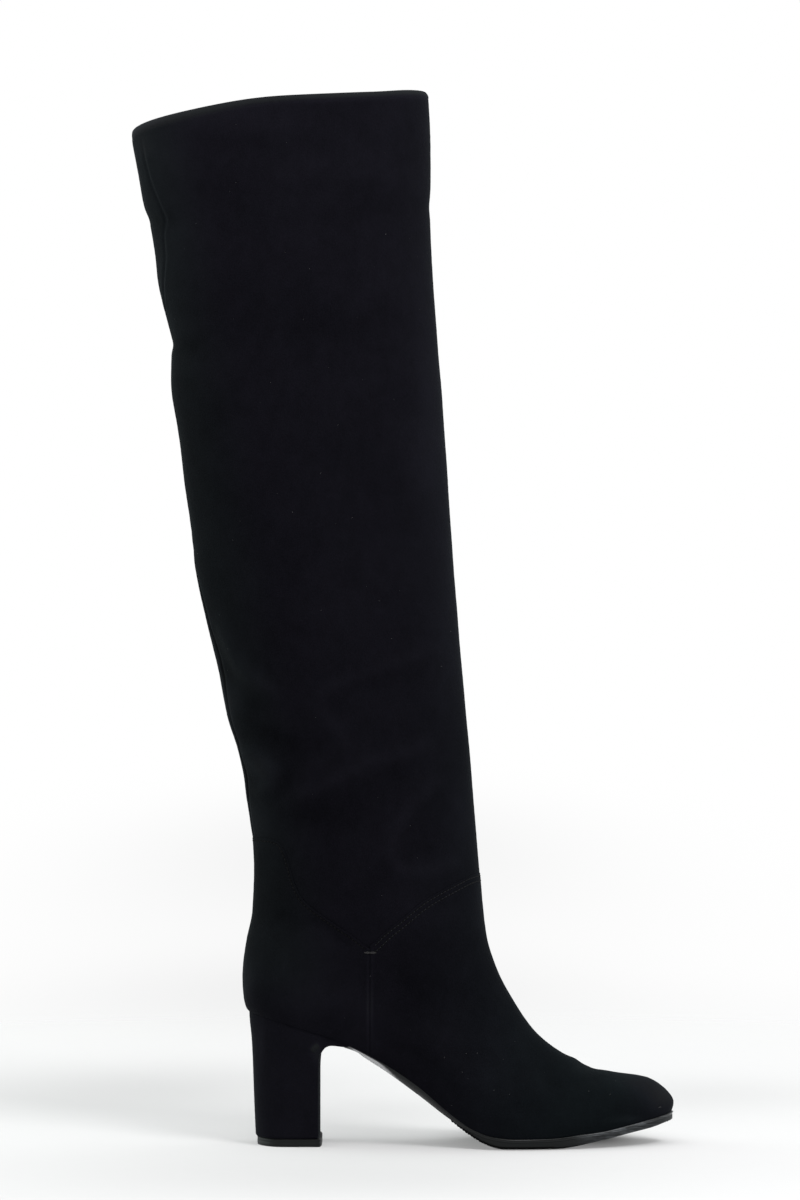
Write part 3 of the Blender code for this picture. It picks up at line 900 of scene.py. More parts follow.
def make_lining(leather):
    """Inside face from under the collar's turned-in edge down to the insole."""
    way = np.linspace(0.0, 2.0 * np.pi, LINING_COLUMNS + 1)[:-1]
    down = np.linspace(0.0, 1.0, LINING_ROWS)[:, None]
    place = mix(TURN_IN, LAST_PLACE - LINING_STOP, down) + 0.0 * way
    turn = shaft_turn(place, way)
    points, normals = upper_face(place, turn)
    inward = mix(2.0 * RIM - LINING_TUCK, WALL + LINING_GAP, ease(place / LINING_SETTLES))
    offset = LINING_FOLDS * fold_height(points, normals) - inward
    points = points + normals * offset[..., None]
    faces = grid_faces(len(points), len(way), True)[:, ::-1]
    return add_piece("lining", points, faces, leather, "lining")


def sole_side(x, side, grow):
    """Edge of the sole's outline on one side, grown by so many millimetres past the feather line."""
    feather = RINGS[-1]
    share = np.clip((x - HEEL_END + grow) / (TOE_END - HEEL_END + 2.0 * grow), 0.0, 1.0)
    halves = (feather.rear_half + grow, feather.front_half + grow)
    half = ring_half(share, side, *halves, feather.back_round, 1.0)
    return swing(share, 1.0) + side * half


def ring_points(x, inner_y, outer_y, z):
    """Closed ring: the inner side from back to front, then the outer side from front to back."""
    inner = np.column_stack((x, inner_y, z))
    outer = np.column_stack((x, outer_y, z))
    return np.concatenate((inner, outer[::-1]))


def both_ends(count):
    """Shares from 0 to 1 that crowd at both ends."""
    return 0.5 - 0.5 * np.cos(np.linspace(0.0, np.pi, count))


def far_end(count):
    """Shares from 0 to 1 that crowd at the toe."""
    return np.sin(np.linspace(0.0, np.pi / 2.0, count))


def stack_faces(rings, capped):
    """Faces of a stack of rings, closed above and below where it is capped."""
    count = len(rings[0])
    faces = [grid_faces(len(rings), count, True)]
    if capped:
        faces += [cap_faces(0, count, -1), cap_faces((len(rings) - 1) * count, count, 1)]
    return np.concatenate(faces)


def sole_ring(x, past, z):
    """Ring around the sole, grown past the feather line."""
    return ring_points(x, sole_side(x, 1, past), sole_side(x, -1, past), z)


def make_insole(leather):
    """Sock over the board inside the boot, with a soft edge."""
    rings = []
    for inset, height in INSOLE_EDGE[::-1]:
        grow = -(WALL + 2.0 * GAP) - inset
        x = mix(HEEL_END - grow, TOE_END + grow, both_ends(BLOCK_POINTS))
        rings.append(sole_ring(x, grow, sole_line("feather", x) + height))
    rings = np.array(rings)
    return add_piece("insole_sock", rings, stack_faces(rings, True), leather, "lining", ("insole",))


def bevel_grow(x):
    return sole_line("reach", x) - sole_line("bevel", x)


def leather_top(x):
    return sole_line("feather", x) - GAP


def leather_bottom(x):
    return leather_top(x) - read(LEATHER, "x", "thick", x)


def tread_top(x):
    return leather_bottom(x) - GAP


# Edge of the leather sole from top to bottom: share of the way down, and how far it stands out
EdgeRow = namedtuple("EdgeRow", "down out")
SOLE_EDGE = [EdgeRow(*row) for row in (
    (0, -2.5), (-0.04, -0.3), (-0.02, 0.10), (0.05, 0.32), (0.13, 0.40), (0.21, 0.32), (0.27, 0.12),
    (0.31, 0.02), (0.38, 0), (0.50, 0), (0.62, 0), (0.74, 0), (0.84, 0), (0.92, -0.02),
    (0.97, -0.05), (1, -0.12),
)]
BEAD_RAMP = (26.0, 18.0)  # the bead along the top edge grows here to the forefoot
BEAD_WAIST = 0.1  # share of the bead that is left at the waist

# Painted highlight along the edge's bead, and painted reflection on the waist and at the sole's start
BEAD_SHINE = (Ridge(0.07, 0.09, 0.18),)  # by the share of the way down
BEAD_HIGHLIGHT = (Ridge(66.0, 10.0, 0.8),)  # painted highlight on the bead about here
BEAD_TOE_RAMP = (92.0, 16.0)  # and from here to the toe
BEAD_TIP = 0.7  # but less at its tip
BEAD_TIP_RAMP = (128.0, 14.0)
WAIST_RAMP = (-30.0, 4.0)  # the waist shines from here
WAIST_END_RAMP = (-19.0, 7.0)  # to here, and further forward lower down
WAIST_SLANT = 13.0
WAIST_DOWN_RAMP = (0.12, 0.22)
THROAT_SHINE = (Ridge(-31.5, 3.5, 0.12),)


def sole_shine(x, down):
    """Bright parts of the sole's edge: painted highlight along its bead, and painted reflection on the waist
    where it rounds in under the heel.
    """
    toe = ramp(x, *BEAD_TOE_RAMP) * (1.0 - BEAD_TIP * ramp(x, *BEAD_TIP_RAMP))
    bead = ridges(x, BEAD_HIGHLIGHT) + toe
    waist = ramp(x, *WAIST_RAMP) * (1.0 - ramp(x - WAIST_SLANT * down, *WAIST_END_RAMP))
    return bead * ridges(down, BEAD_SHINE) + waist * ramp(down, *WAIST_DOWN_RAMP) + ridges(x, THROAT_SHINE)


def edge_row_grow(row, x):
    """How far one row of the leather's edge stands out past the feather line."""
    bead = mix(BEAD_WAIST, 1.0, ramp(x, *BEAD_RAMP))
    return mix(sole_line("reach", x), bevel_grow(x), max(row.down, 0) ** 2) + bead * row.out


def make_outsole(leather):
    """Leather sole with a bead along the top edge of its forefoot and a waist that rounds in underneath."""
    rings = []
    for row in SOLE_EDGE:
        x = mix(SOLE_START, TOE_END + edge_row_grow(row, TOE_END), far_end(SOLE_POINTS))
        z = mix(leather_top(x), leather_bottom(x), row.down)
        rings.append(sole_ring(x, edge_row_grow(row, np.minimum(x, TOE_END)), z))
    rings = np.array(rings)
    # painted highlight and reflection on the edge, carried as its tone
    tone = sole_shine(rings[..., 0], column(SOLE_EDGE, "down")[:, None])
    faces = stack_faces(rings, True)
    return add_piece("sole_edge", rings, faces, leather, "sole_leather", ("outsole",), tone)


# Rubber half sole
TREAD_REACH = 0.2  # the rubber comes out almost as far as the leather
TREAD_EDGE = 1.2  # its lower edge is rounded off by this much
TREAD_TIP = 0.4  # or by this share of its width where it is narrow
TREAD_CURVE = 1.25  # power of the curve up to its edge
TOE_ROLL = 0.5  # its lower edge rolls up at the toe
TOE_ROLL_FROM = 138.0
RIB_PITCH = 1.5  # ribs across its underside
RIB_DEPTH = 0.4
RIB_SHARP = 1.4
RIB_EDGE_RAMP = (1.0, 1.5)  # they stop short of the edge
TOOTHED_RAMP = (44.0, 6.0)  # but behind this they run out to it

# Bands up the rubber's edge, as share out to it and height, and where each is polished from there to the toe
TREAD_LIP = ((1.0, 9.0), (1.0, 1.5), (0.93, 1.05), (0.74, 0.55), (0.42, 0.18))
POLISH_FROM = (0.0, 84.0, 92.0, 100.0, 108.0)
LIP_OVER = 1.5  # gaps by which the bands reach up past the rubber's top


def tread_bottom(x, inner, outer, tuck):
    """Underside of the rubber, by place along and place across, with its edge rolled up and its ribs."""
    y = mix((outer + tuck)[:, None], (inner - tuck)[:, None], both_ends(TREAD_ACROSS))
    from_edge = np.minimum(y - outer[:, None], inner[:, None] - y)
    x = x[:, None] + 0.0 * y
    ground = ground_line(x)
    roll = mix(TREAD_ROLL, TOE_ROLL, ramp(x, TOE_ROLL_FROM, TOE_END - TOE_ROLL_FROM))
    side = mix(ground, tread_top(x), roll)
    inward = 1.0 - (1.0 - np.clip(from_edge / TREAD_INSET, 0.0, 1.0)) ** TREAD_CURVE
    rib = ease(0.5 + RIB_SHARP * np.cos(2.0 * np.pi * x / RIB_PITCH))
    border = np.maximum(ramp(from_edge, *RIB_EDGE_RAMP), 1.0 - ramp(x, *TOOTHED_RAMP))
    return np.stack((x, y, mix(side, ground, inward) + RIB_DEPTH * rib * border), axis=-1)


def tread_lip(x, edge, tuck, low):
    """Bands up one edge of the rubber, from its top to its underside. Tuck is the way in to the underside."""
    top = tread_top(x) + LIP_OVER * GAP
    bands = []
    for out, up in TREAD_LIP:
        bands.append(np.column_stack((x, edge + tuck * (1.0 - out), np.minimum(low + up, top))))
    return np.stack(bands, axis=1)


def make_half_sole(rubber, matt):
    """Rubber half sole with a polished edge, and a matt underside with fine ribs across it."""
    x = mix(TREAD_START, TOE_END + bevel_grow(TOE_END) + TREAD_REACH, far_end(TREAD_ALONG))
    past = bevel_grow(np.minimum(x, TOE_END)) + TREAD_REACH
    inner = sole_side(x, 1, past)
    outer = sole_side(x, -1, past)
    tuck = np.minimum(TREAD_EDGE, TREAD_TIP * (inner - outer))
    bottom = tread_bottom(x, inner, outer, tuck)
    low = bottom[:, 0, 2]
    far_lip = tread_lip(x, inner, -tuck, low)[:, ::-1]
    skin = np.concatenate((tread_lip(x, outer, tuck, low), bottom, far_lip), axis=1)
    sheet = grid_faces(*skin.shape[:2], False)
    count = skin.shape[1]
    back_top = skin[0, ::-1].copy()
    back_top[:, 2] = tread_top(x[0])
    below = np.arange(count)[::-1]
    above = len(x) * count + np.arange(count)
    back = np.stack((below[:-1], below[1:], above[1:], above[:-1]), axis=-1)
    points = np.concatenate((skin.reshape(-1, 3), back_top))
    half_sole = add_piece("half_sole", points, np.concatenate((sheet, back)), rubber, "rubber", ("tread",))
    half_sole.data.materials.append(matt)
    half_sole.data.polygons.foreach_set("material_index", tread_finish(x, len(sheet), len(back)))
    return half_sole


def tread_finish(x, sheet, back):
    """Faces of the half sole: 1 is matt, and 0 polished, as the bands of its edge are towards the toe."""
    finish = np.ones(sheet + back, dtype=np.int32)
    grid = finish[:sheet].reshape(len(x) - 1, -1)
    for band, start in enumerate(POLISH_FROM):
        grid[x[:-1] > start, band] = 0
        grid[x[:-1] > start, -1 - band] = 0
    return finish


# Heel and its cover
SEAT_GAP = 0.05  # between the heel and the upper
HEEL_TUCK = 0.5  # the cover is rounded in at the bottom
HEEL_TUCK_UP = 0.014
HEEL_SHARES = (*np.linspace(1.0, 0.78, 34), *np.linspace(0.76, 0.03, 40), 0.016, 0.009, 0.004, 0.0)
WRINKLE = ((-51.6, 51.4), (-49.4, 53.8), (-46.8, 55.4))
WRINKLE_WIDTH = 1.4
WRINKLE_HEIGHT = 0.5
WRINKLE_ENDS = 6.0
# painted highlight on the wrinkle
WRINKLE_TONE = 1.1
HEEL_TONE = 0.18  # tone over its whole cover, lighter than the upper beside it, taking back part of the painted shade towards the foot
# painted highlights at the breast's corner and along the heel's back edge
HEEL_TONES = (
    Tone("breast_corner", OUTER, -47.8, 50.5, 3.4, 6.5, 0.7),
    Tone("back_edge", OUTER, -79.6, 58, 2, 13, 0.45),
)

# Edge of the lift from top to bottom: way inward, and height
LIFT_EDGE = (
    (0.6, LIFT), (0.15, 4.3), (0.0, 4.0), (0.0, 2.6), (0.06, 2.5), (0.0, 2.4), (0.0, 0.3), (0.1, 0.08),
    (0.4, 0.0),
)


def block_ring(back_x, front_x, half, back_round, front_round, low, share):
    """Ring of the heel or its lift, round behind and flat in front, a share of the way up to the seat."""
    x = mix(back_x, front_x, both_ends(BLOCK_POINTS))
    behind = end_round(x - back_x, back_round, ROUND)
    before = end_round(front_x - x, front_round, SQUARE, SQUARE)
    y = half * behind * before
    return ring_points(x, y, -y, mix(low, sole_line("feather", x) - SEAT_GAP, share))


def heel_wrinkle(points):
    """Share of the short wrinkle in the heel's cover, on its outer side under the seat."""
    across, up = seen(points)
    distance, along = to_line(across, up, WRINKLE)
    return hump(distance, WRINKLE_WIDTH) * end_fade(along, WRINKLE_ENDS) * on_side(points, OUTER)


def make_heel(suede):
    """Block heel under its suede cover, rounded in at the bottom."""
    heights = column(HEEL, "height")[::-1]
    rings = []
    for share in HEEL_SHARES:
        sizes = [smooth(heights, column(HEEL, name)[::-1], share) for name in HeelRing._fields[2:]]
        back_x, front_x, half, *rounds = sizes
        tuck = HEEL_TUCK * (1.0 - ease(share / HEEL_TUCK_UP)) - NAP
        rings.append(block_ring(back_x + tuck, front_x - tuck, half - tuck, *rounds, LIFT + GAP, share))
    rings = np.array(rings)
    wrinkle = heel_wrinkle(rings)
    rings[..., 1] -= WRINKLE_HEIGHT * wrinkle
    # painted highlights on the wrinkle and in two patches, over the lighter cover
    tone = HEEL_TONE + WRINKLE_TONE * wrinkle + patch_tone(rings, HEEL_TONES)
    return add_piece("heel_cover", rings, stack_faces(rings, True), suede, "suede", ("heel",), tone)


def make_lift(rubber):
    """Rubber lift under the heel with edges rounded by wear."""
    rings = []
    for inset, z in LIFT_EDGE:
        sizes = (LIFT_BACK + inset, LIFT_FRONT - inset, LIFT_HALF - inset, LIFT_BACK_ROUND, LIFT_FRONT_ROUND)
        rings.append(block_ring(*sizes, z, 0.0))
    rings = np.array(rings)
    return add_piece("heel_lift", rings, stack_faces(rings, True), rubber, "rubber", ("top_lift",))


def threads(centres, normals, radii, sides=THREAD_SIDES):
    """Points and faces of many thin round threads: centres and normals are by thread and step."""
    along = np.gradient(centres, axis=1)
    along = along / np.linalg.norm(along, axis=-1, keepdims=True)
    across = np.cross(along, normals)
    across = across / np.linalg.norm(across, axis=-1, keepdims=True)
    upward = np.cross(across, along)
    angle = np.arange(sides) * 2.0 * np.pi / sides
    ring = np.cos(angle)[:, None] * upward[..., None, :] + np.sin(angle)[:, None] * across[..., None, :]
    points = centres[..., None, :] + np.asarray(radii)[..., None, None] * ring
    count, steps = centres.shape[:2]
    one = grid_faces(steps, sides, True)
    faces = (np.arange(count) * steps * sides)[:, None, None] + one
    return points.reshape(-1, 3), faces.reshape(-1, 4)


def walk(path, normals, first, length, steps):
    """Points and normals along stitches, or the needle holes between them, set in a row on a path."""
    stride = np.linalg.norm(np.diff(path, axis=0), axis=1)
    way = np.concatenate(([0.0], np.cumsum(stride)))
    starts = np.arange(first, way[-1] - length, STITCH_PITCH)
    at = starts[:, None] + np.linspace(0.0, length, steps)
    point = np.stack([np.interp(at, way, path[:, i]) for i in range(3)], axis=-1)
    normal = np.stack([np.interp(at, way, normals[:, i]) for i in range(3)], axis=-1)
    return point, normal / np.linalg.norm(normal, axis=-1, keepdims=True)


def grid_normals(points):
    normal = np.cross(np.gradient(points, axis=1), np.gradient(points, axis=0))
    return normal / np.maximum(np.linalg.norm(normal, axis=-1, keepdims=True), TINY)


def crossing(points, normals, values, target):
    """On each column of a grid, the point and normal where the values first pass the target."""
    passed = values >= target
    found = passed.any(axis=0)
    last = np.maximum(np.argmax(passed, axis=0), 1)
    columns = np.arange(values.shape[1])
    low = values[last - 1, columns]
    high = values[last, columns]
    share = ((target - low) / np.maximum(high - low, TINY))[:, None]
    point = mix(points[last - 1, columns], points[last, columns], share)
    normal = mix(normals[last - 1, columns], normals[last, columns], share)
    return point[found], normal[found]


def panel_paths(panel, stitch_rows):
    """Paths of the rows of stitches along a panel's edge."""
    normals = grid_normals(panel.points)
    inside = slice(STITCH_SKIP, -STITCH_SKIP)
    paths = []
    for row in stitch_rows:
        point, normal = crossing(panel.points[1:], normals[1:], panel.edge_distance[1:], row)
        paths.append((point[inside], normal[inside]))
    return paths


def lay_threads(paths, kind):
    """Points and faces of short threads along paths: each rises out of the suede and dives back into it."""
    swell = np.sin(np.linspace(THREAD_END, np.pi - THREAD_END, THREAD_STEPS))
    laid = [walk(path, normal, kind.first, kind.length, THREAD_STEPS) for path, normal in paths]
    points = np.concatenate([centre for centre, _ in laid])
    normals = np.concatenate([up for _, up in laid])
    points = points + normals * (kind.rise * swell - kind.sunk)[:, None]
    radii = kind.radius * mix(THREAD_THIN, 1.0, swell) + 0.0 * points[..., 0]
    return threads(points, normals, radii)


def make_stitches(name, panel, stitch_rows, thread, hole):
    """Every stitch along one panel's edge as one mesh, and every needle hole between them as another, a black
    mark of painted shade.
    """
    paths = panel_paths(panel, stitch_rows)
    add_piece(name + "_stitching", *lay_threads(paths, STITCH), thread)
    add_piece(name + "_needle_holes", *lay_threads(paths, HOLE), hole)


def surface_tree(pieces):
    """Search tree over the outer faces of several pieces, in metres."""
    points = []
    faces = []
    for piece in pieces:
        first = len(points)
        points += [vertex.co.copy() for vertex in piece.data.vertices]
        faces += [[first + i for i in polygon.vertices] for polygon in piece.data.polygons]
    return BVHTree.FromPolygons(points, faces)


def drop_on(tree, across, up, side):
    """Point and normal of the surface that shows at a place across and up, or None for both."""
    eye = Vector((CAMERA_X * MM, side * CAMERA_AWAY * MM, CAMERA_Z * MM))
    target = Vector((across * MM, 0.0, up * MM))
    point, normal, _, _ = tree.ray_cast(eye, (target - eye).normalized())
    if point is None:
        return None, None
    normal = np.array(normal)
    outward = normal if normal[1] * side > 0.0 else -normal
    return np.array(point) / MM, outward


# Bar tacks
TACK_AT = Seen(-18.2, 107.0)
TACK_LENGTH = 6.4
TACK_HEIGHT = 0.75
TACK_STRANDS = 11
TACK_RADIUS = 0.13
TACK_POINTED = 1.9  # its outermost strands are shorter
TACK_RISE = 0.45
TACK_SUNK = 0.1  # at the strands' ends, and every second strand rises by as much
TACK_WAVE = 0.12
TACK_WAVES = 9.0
TACK_SLANT = 0.2  # every second strand slants the other way
TACK_UNEVEN = (-0.4, 0.3)  # change of a strand's half length
TACK_SHIFT = (-0.25, 0.25)
TACK_SEED = 4


def tack_strand(tree, strand, side, rng):
    """Points of one strand of a bar tack."""
    lift = mix(-0.5, 0.5, strand / (TACK_STRANDS - 1.0))
    half = 0.5 * TACK_LENGTH * (1.0 - TACK_POINTED * lift ** 2) + rng.uniform(*TACK_UNEVEN)
    shift = rng.uniform(*TACK_SHIFT)
    line = []
    for t in np.linspace(-1.0, 1.0, TACK_STEPS):
        wave = TACK_WAVE * np.sin(TACK_WAVES * t + strand) + TACK_SLANT * t * (-1) ** strand
        up = TACK_AT.up + TACK_HEIGHT * lift + wave
        point, normal = drop_on(tree, TACK_AT.across + shift + half * t, up, side)
        line.append(point + normal * (TACK_RISE * (1.0 - t ** 4) - TACK_SUNK + TACK_SUNK * (strand % 2)))
    return line


def make_tacks(tree, thread):
    """Bar tack where vamp, counter and shaft meet, on each side: strands longest in its middle."""
    rng = np.random.default_rng(TACK_SEED)
    centres = []
    normals = []
    for side in (OUTER, INNER):
        centres += [tack_strand(tree, strand, side, rng) for strand in range(TACK_STRANDS)]
        normals += [np.tile((0.0, float(side), 0.0), (TACK_STEPS, 1))] * TACK_STRANDS
    radii = np.full((len(centres), TACK_STEPS), TACK_RADIUS)
    return add_piece("bar_tacks", *threads(np.array(centres), np.array(normals), radii), thread)


# Lint on the suede, by where it shows, with its length and its turn in radians
Lint = namedtuple("Lint", "across up length turn")
LINT = [Lint(*row) for row in (
    (-9, 511.2, 0.8, 0.3), (36, 50.6, 0.7, 1.1), (42, 50.8, 0.6, 2), (24, 48.2, 0.5, 0.5),
    (33.4, 40, 0.5, 2.6), (51.7, 29.8, 0.5, 0.2), (60.2, 27.6, 0.6, 1.7), (104.6, 29.2, 0.5, 2.3),
    (117, 27.6, 0.7, 0.9), (145.6, 20.2, 2.2, 0.05), (-74, 428, 0.6, 1.3), (-36, 404, 0.5, 0.4),
    (-62, 355, 0.5, 2.2), (-28, 352, 0.6, 0.8), (27, 288, 0.6, 1.9), (22, 268, 0.5, 0.1),
    (8, 160.5, 0.6, 2.8), (-52, 492, 0.5, 1.5),
)]
SPECKS = 110  # finer lint, scattered
SPECK_BOX = (Seen(-140.0, 20.0), Seen(150.0, 575.0))
SPECK_LENGTH = (0.12, 0.35)
LINT_RADIUS = 0.07
LINT_SIDES = 5
LINT_CURL = 1.2  # most that a fibre turns along its length, in radians
LINT_LIFT = 0.10
LINT_ARCH = 3.0  # its middle lies higher than its ends
LINT_SEED = 11


def scattered_lint(rng):
    low, high = SPECK_BOX
    for _ in range(SPECKS):
        across = rng.uniform(low.across, high.across)
        up = rng.uniform(low.up, high.up)
        length = rng.uniform(*SPECK_LENGTH)
        yield Lint(across, up, length, rng.uniform(0.0, np.pi))


def lint_fibre(fibre, point, normal, curl):
    """Points of one curled fibre on the suede."""
    first = np.cross(normal, (0.0, 0.0, 1.0))
    first = first / np.linalg.norm(first)
    second = np.cross(normal, first)
    t = np.linspace(-0.5, 0.5, LINT_STEPS)
    angle = fibre.turn + curl * t
    x = np.cumsum(np.cos(angle)) * fibre.length / LINT_STEPS
    y = np.cumsum(np.sin(angle)) * fibre.length / LINT_STEPS
    lift = LINT_LIFT + LINT_LIFT * np.cos(LINT_ARCH * t)
    return point + np.outer(x, first) + np.outer(y, second) + np.outer(lift, normal)


def make_lint(tree, fluff):
    """Tiny curled fibres lying on the suede."""
    rng = np.random.default_rng(LINT_SEED)
    centres = []
    normals = []
    for side in (OUTER, INNER):
        placed = LINT if side == OUTER else ()
        for fibre in (*placed, *scattered_lint(rng)):
            point, normal = drop_on(tree, fibre.across, fibre.up, side)
            if point is not None:
                centres.append(lint_fibre(fibre, point, normal, rng.uniform(-LINT_CURL, LINT_CURL)))
                normals.append(np.tile(normal, (LINT_STEPS, 1)))
    radii = np.full((len(centres), LINT_STEPS), LINT_RADIUS)
    return add_piece("lint", *threads(np.array(centres), np.array(normals), radii, LINT_SIDES), fluff)


def feed(tree, node, **inputs):
    """Give a node its inputs by name, _ standing for a space: an output is linked, anything else is set."""
    for name, value in inputs.items():
        socket = node.inputs[name.replace("_", " ")]
        if isinstance(value, bpy.types.NodeSocket):
            tree.links.new(value, socket)
        else:
            socket.default_value = value


def add_node(tree, kind, output, settings=(), **inputs):
    """Output of a new node with its settings and inputs."""
    node = tree.nodes.new("ShaderNode" + kind)
    for name, value in settings:
        setattr(node, name, value)
    feed(tree, node, **inputs)
    return node.outputs[output]


def new_material(name):
    """Material, its node tree and its shader."""
    material = bpy.data.materials.new(name)
    material.use_nodes = True
    return material, material.node_tree, material.node_tree.nodes["Principled BSDF"]


def own_coordinates(tree, stretch=(1.0, 1.0, 1.0)):
    """Coordinates of the object in metres, stretched along its axes."""
    return add_node(tree, "Mapping", "Vector", Vector=add_node(tree, "TexCoord", "Object"), Scale=stretch)


def noise(tree, vector, scale, detail, roughness):
    return add_node(tree, "TexNoise", "Fac", Vector=vector, Scale=scale, Detail=detail, Roughness=roughness)


def remap(tree, value, low, high, to_low, to_high):
    """Smooth step from one number at the low end to another at the high end."""
    ends = {"From_Min": low, "From_Max": high, "To_Min": to_low, "To_Max": to_high}
    return add_node(tree, "MapRange", "Result", [("interpolation_type", "SMOOTHSTEP")], Value=value, **ends)


def bump(tree, height, strength, distance, **before):
    """Bump of a height in metres, on top of another bump where that is given as Normal."""
    return add_node(tree, "Bump", "Normal", Height=height, Strength=strength, Distance=distance, **before)


def own_tone(tree):
    """Painted light and shade, and the toe's scuffs, that a mesh carries as its tone, or 0 where it carries
    none.
    """
    return add_node(tree, "Attribute", "Fac", [("attribute_name", TONE_NAME)])


def axis(tree, vector, name):
    """One coordinate, X, Y or Z, in metres."""
    return add_node(tree, "SeparateXYZ", name, Vector=vector)


def calculate(tree, operation, first, second):
    """Math node on two outputs or numbers."""
    node = tree.nodes.new("ShaderNodeMath")
    node.operation = operation
    for socket, value in zip(node.inputs, (first, second)):
        if isinstance(value, float):
            socket.default_value = value
        else:
            tree.links.new(value, socket)
    return node.outputs["Value"]


def plus(tree, first, second):
    return calculate(tree, "ADD", first, second)


def times(tree, first, second):
    return calculate(tree, "MULTIPLY", first, second)


def blend_colours(tree, share, first, second, free=False):
    """Colour between two, or past them where the share is free to pass 0 and 1."""
    node = tree.nodes.new("ShaderNodeMix")
    node.data_type = "RGBA"
    node.clamp_factor = not free
    tree.links.new(share, node.inputs["Factor"])
    for name, colour in (("A", first), ("B", second)):
        socket = [s for s in node.inputs if s.name == name and s.type == "RGBA"][0]
        if isinstance(colour, tuple):
            socket.default_value = (*colour, 1.0)
        else:
            tree.links.new(colour, socket)
    return [s for s in node.outputs if s.type == "RGBA"][0]


def mix_shaders(tree, share, first, second, end):
    """Lead a mix of two shaders to the node at the tree's end."""
    node = tree.nodes.new("ShaderNodeMixShader")
    for socket, source in zip(node.inputs, (share, first, second)):
        tree.links.new(source, socket)
    tree.links.new(node.outputs["Shader"], tree.nodes[end].inputs["Surface"])


# Patterns: features to a metre, detail and roughness
PATCHES = (32.0, 4.0, 0.6)
MOTTLE = (160.0, 4.0, 0.6)
PILE = (1500.0, 3.0, 0.65)
CLOUD = (60.0, 4.0, 0.6)
PORES = (900.0, 3.0, 0.6)
STREAKS = (1100.0, 3.0, 0.6)
FIBRES = (2600.0, 2.0, 0.6)
FLOOR_GRAIN = (90.0, 3.0, 0.6)

# Smooth steps: both ends of what goes in, by place in metres or by pattern, and both ends of what comes out
BACK_STEP = (0.004, 0.042, 1.0, 0.0)
BACK_LOW_STEP = (0.07, 0.11, 0.1, 1.0)
TOE_STEP = (-0.01, 0.11, 0.0, 1.0)
TOE_TIP_STEP = (0.115, 0.150, 1.0, 0.3)
PATCH_STEP = (0.30, 0.70, 0.0, 1.0)
TONE_STEP = (0.04, 0.65, 0.0, 1.0)
HIGHLIGHT_AND_SCUFF_STEP = (0.4, 1.3, 0.0, 1.0)
FOOT_STEP = (0.10, 0.60, 0.74, 1.0)  # painted shade: the suede is darker towards the foot, where less light falls
ROUGH_STEP = (0.3, 0.7, 0.86, 1.0)
SCUFF_STEP = (0.088, 0.126, 0.0, 1.0)  # the sole's edge is scuffed towards the toe
SCUFF_TIP_STEP = (0.126, 0.146, 1.0, 0.3)  # but less at its tip
STREAK_STEP = (0.38, 0.66, 0.1, 1.0)
FLOOR_STEP = (0.10, 1.30, 0.72, 0.0)  # the floor fades out, and lets some of the backdrop through

# Bumps: strength, and height in metres
PILE_BUMP = (0.55, 0.0004)
MOTTLE_BUMP = (0.35, 0.0007)
FIBRE_BUMP = (0.6, 0.0002)
PORE_DEPTH = 0.0003

# Suede's colours by place, and the share of each of its patterns
Hue = namedtuple("Hue", "dark light")
SHAFT_HUE = Hue((0.0038, 0.0037, 0.0055), (0.0112, 0.0107, 0.0158))
# the suede tinted greener along the shaft's back, as painted greenish light from behind
LIT_BACK_HUE = Hue((0.0037, 0.0044, 0.0053), (0.0112, 0.0132, 0.0157))
TOE_HUE = Hue((0.0034, 0.0046, 0.0057), (0.0102, 0.0140, 0.0162))
# greyer colour that the painted highlights and the toe's scuffs turn to
HIGHLIGHT_AND_SCUFF_HUE = (0.0114, 0.0122, 0.0141)
BLACK = (0.0, 0.0, 0.0)
PATCH_SHARE = 0.09
MOTTLE_SHARE = 0.24
PILE_SHARE = 0.36
PILE_STRETCH = (1.0, 1.0, 0.7)
DARKEST = -0.3  # tone below which the painted shade gets no darker
SHEEN_TINT = (0.84, 0.98, 1.0, 1.0)
BACK_LEAN = 0.17  # the shaft's back leans by this much of its height
BACK_AT = -0.055  # where its back would meet the floor, in metres


def back_light_share(tree, flat):
    """Share of the painted greenish light at the shaft's back: 1 there, falling off forward and down to the
    heel.
    """
    height = axis(tree, flat, "Z")
    upright = plus(tree, axis(tree, flat, "X"), times(tree, height, BACK_LEAN))
    near = remap(tree, calculate(tree, "SUBTRACT", upright, BACK_AT), *BACK_STEP)
    return times(tree, near, remap(tree, height, *BACK_LOW_STEP))


def toe_share(tree, flat):
    """Rises from the waist to the toe box and falls off again at the tip."""
    along = axis(tree, flat, "X")
    return times(tree, remap(tree, along, *TOE_STEP), remap(tree, along, *TOE_TIP_STEP))


def hue_at(tree, back, toe, name):
    """Dark or light colour of the suede, turned to the painted greenish light of the back and to the toe's
    colour.
    """
    upper = blend_colours(tree, back, getattr(SHAFT_HUE, name), getattr(LIT_BACK_HUE, name))
    return blend_colours(tree, toe, upper, getattr(TOE_HUE, name))


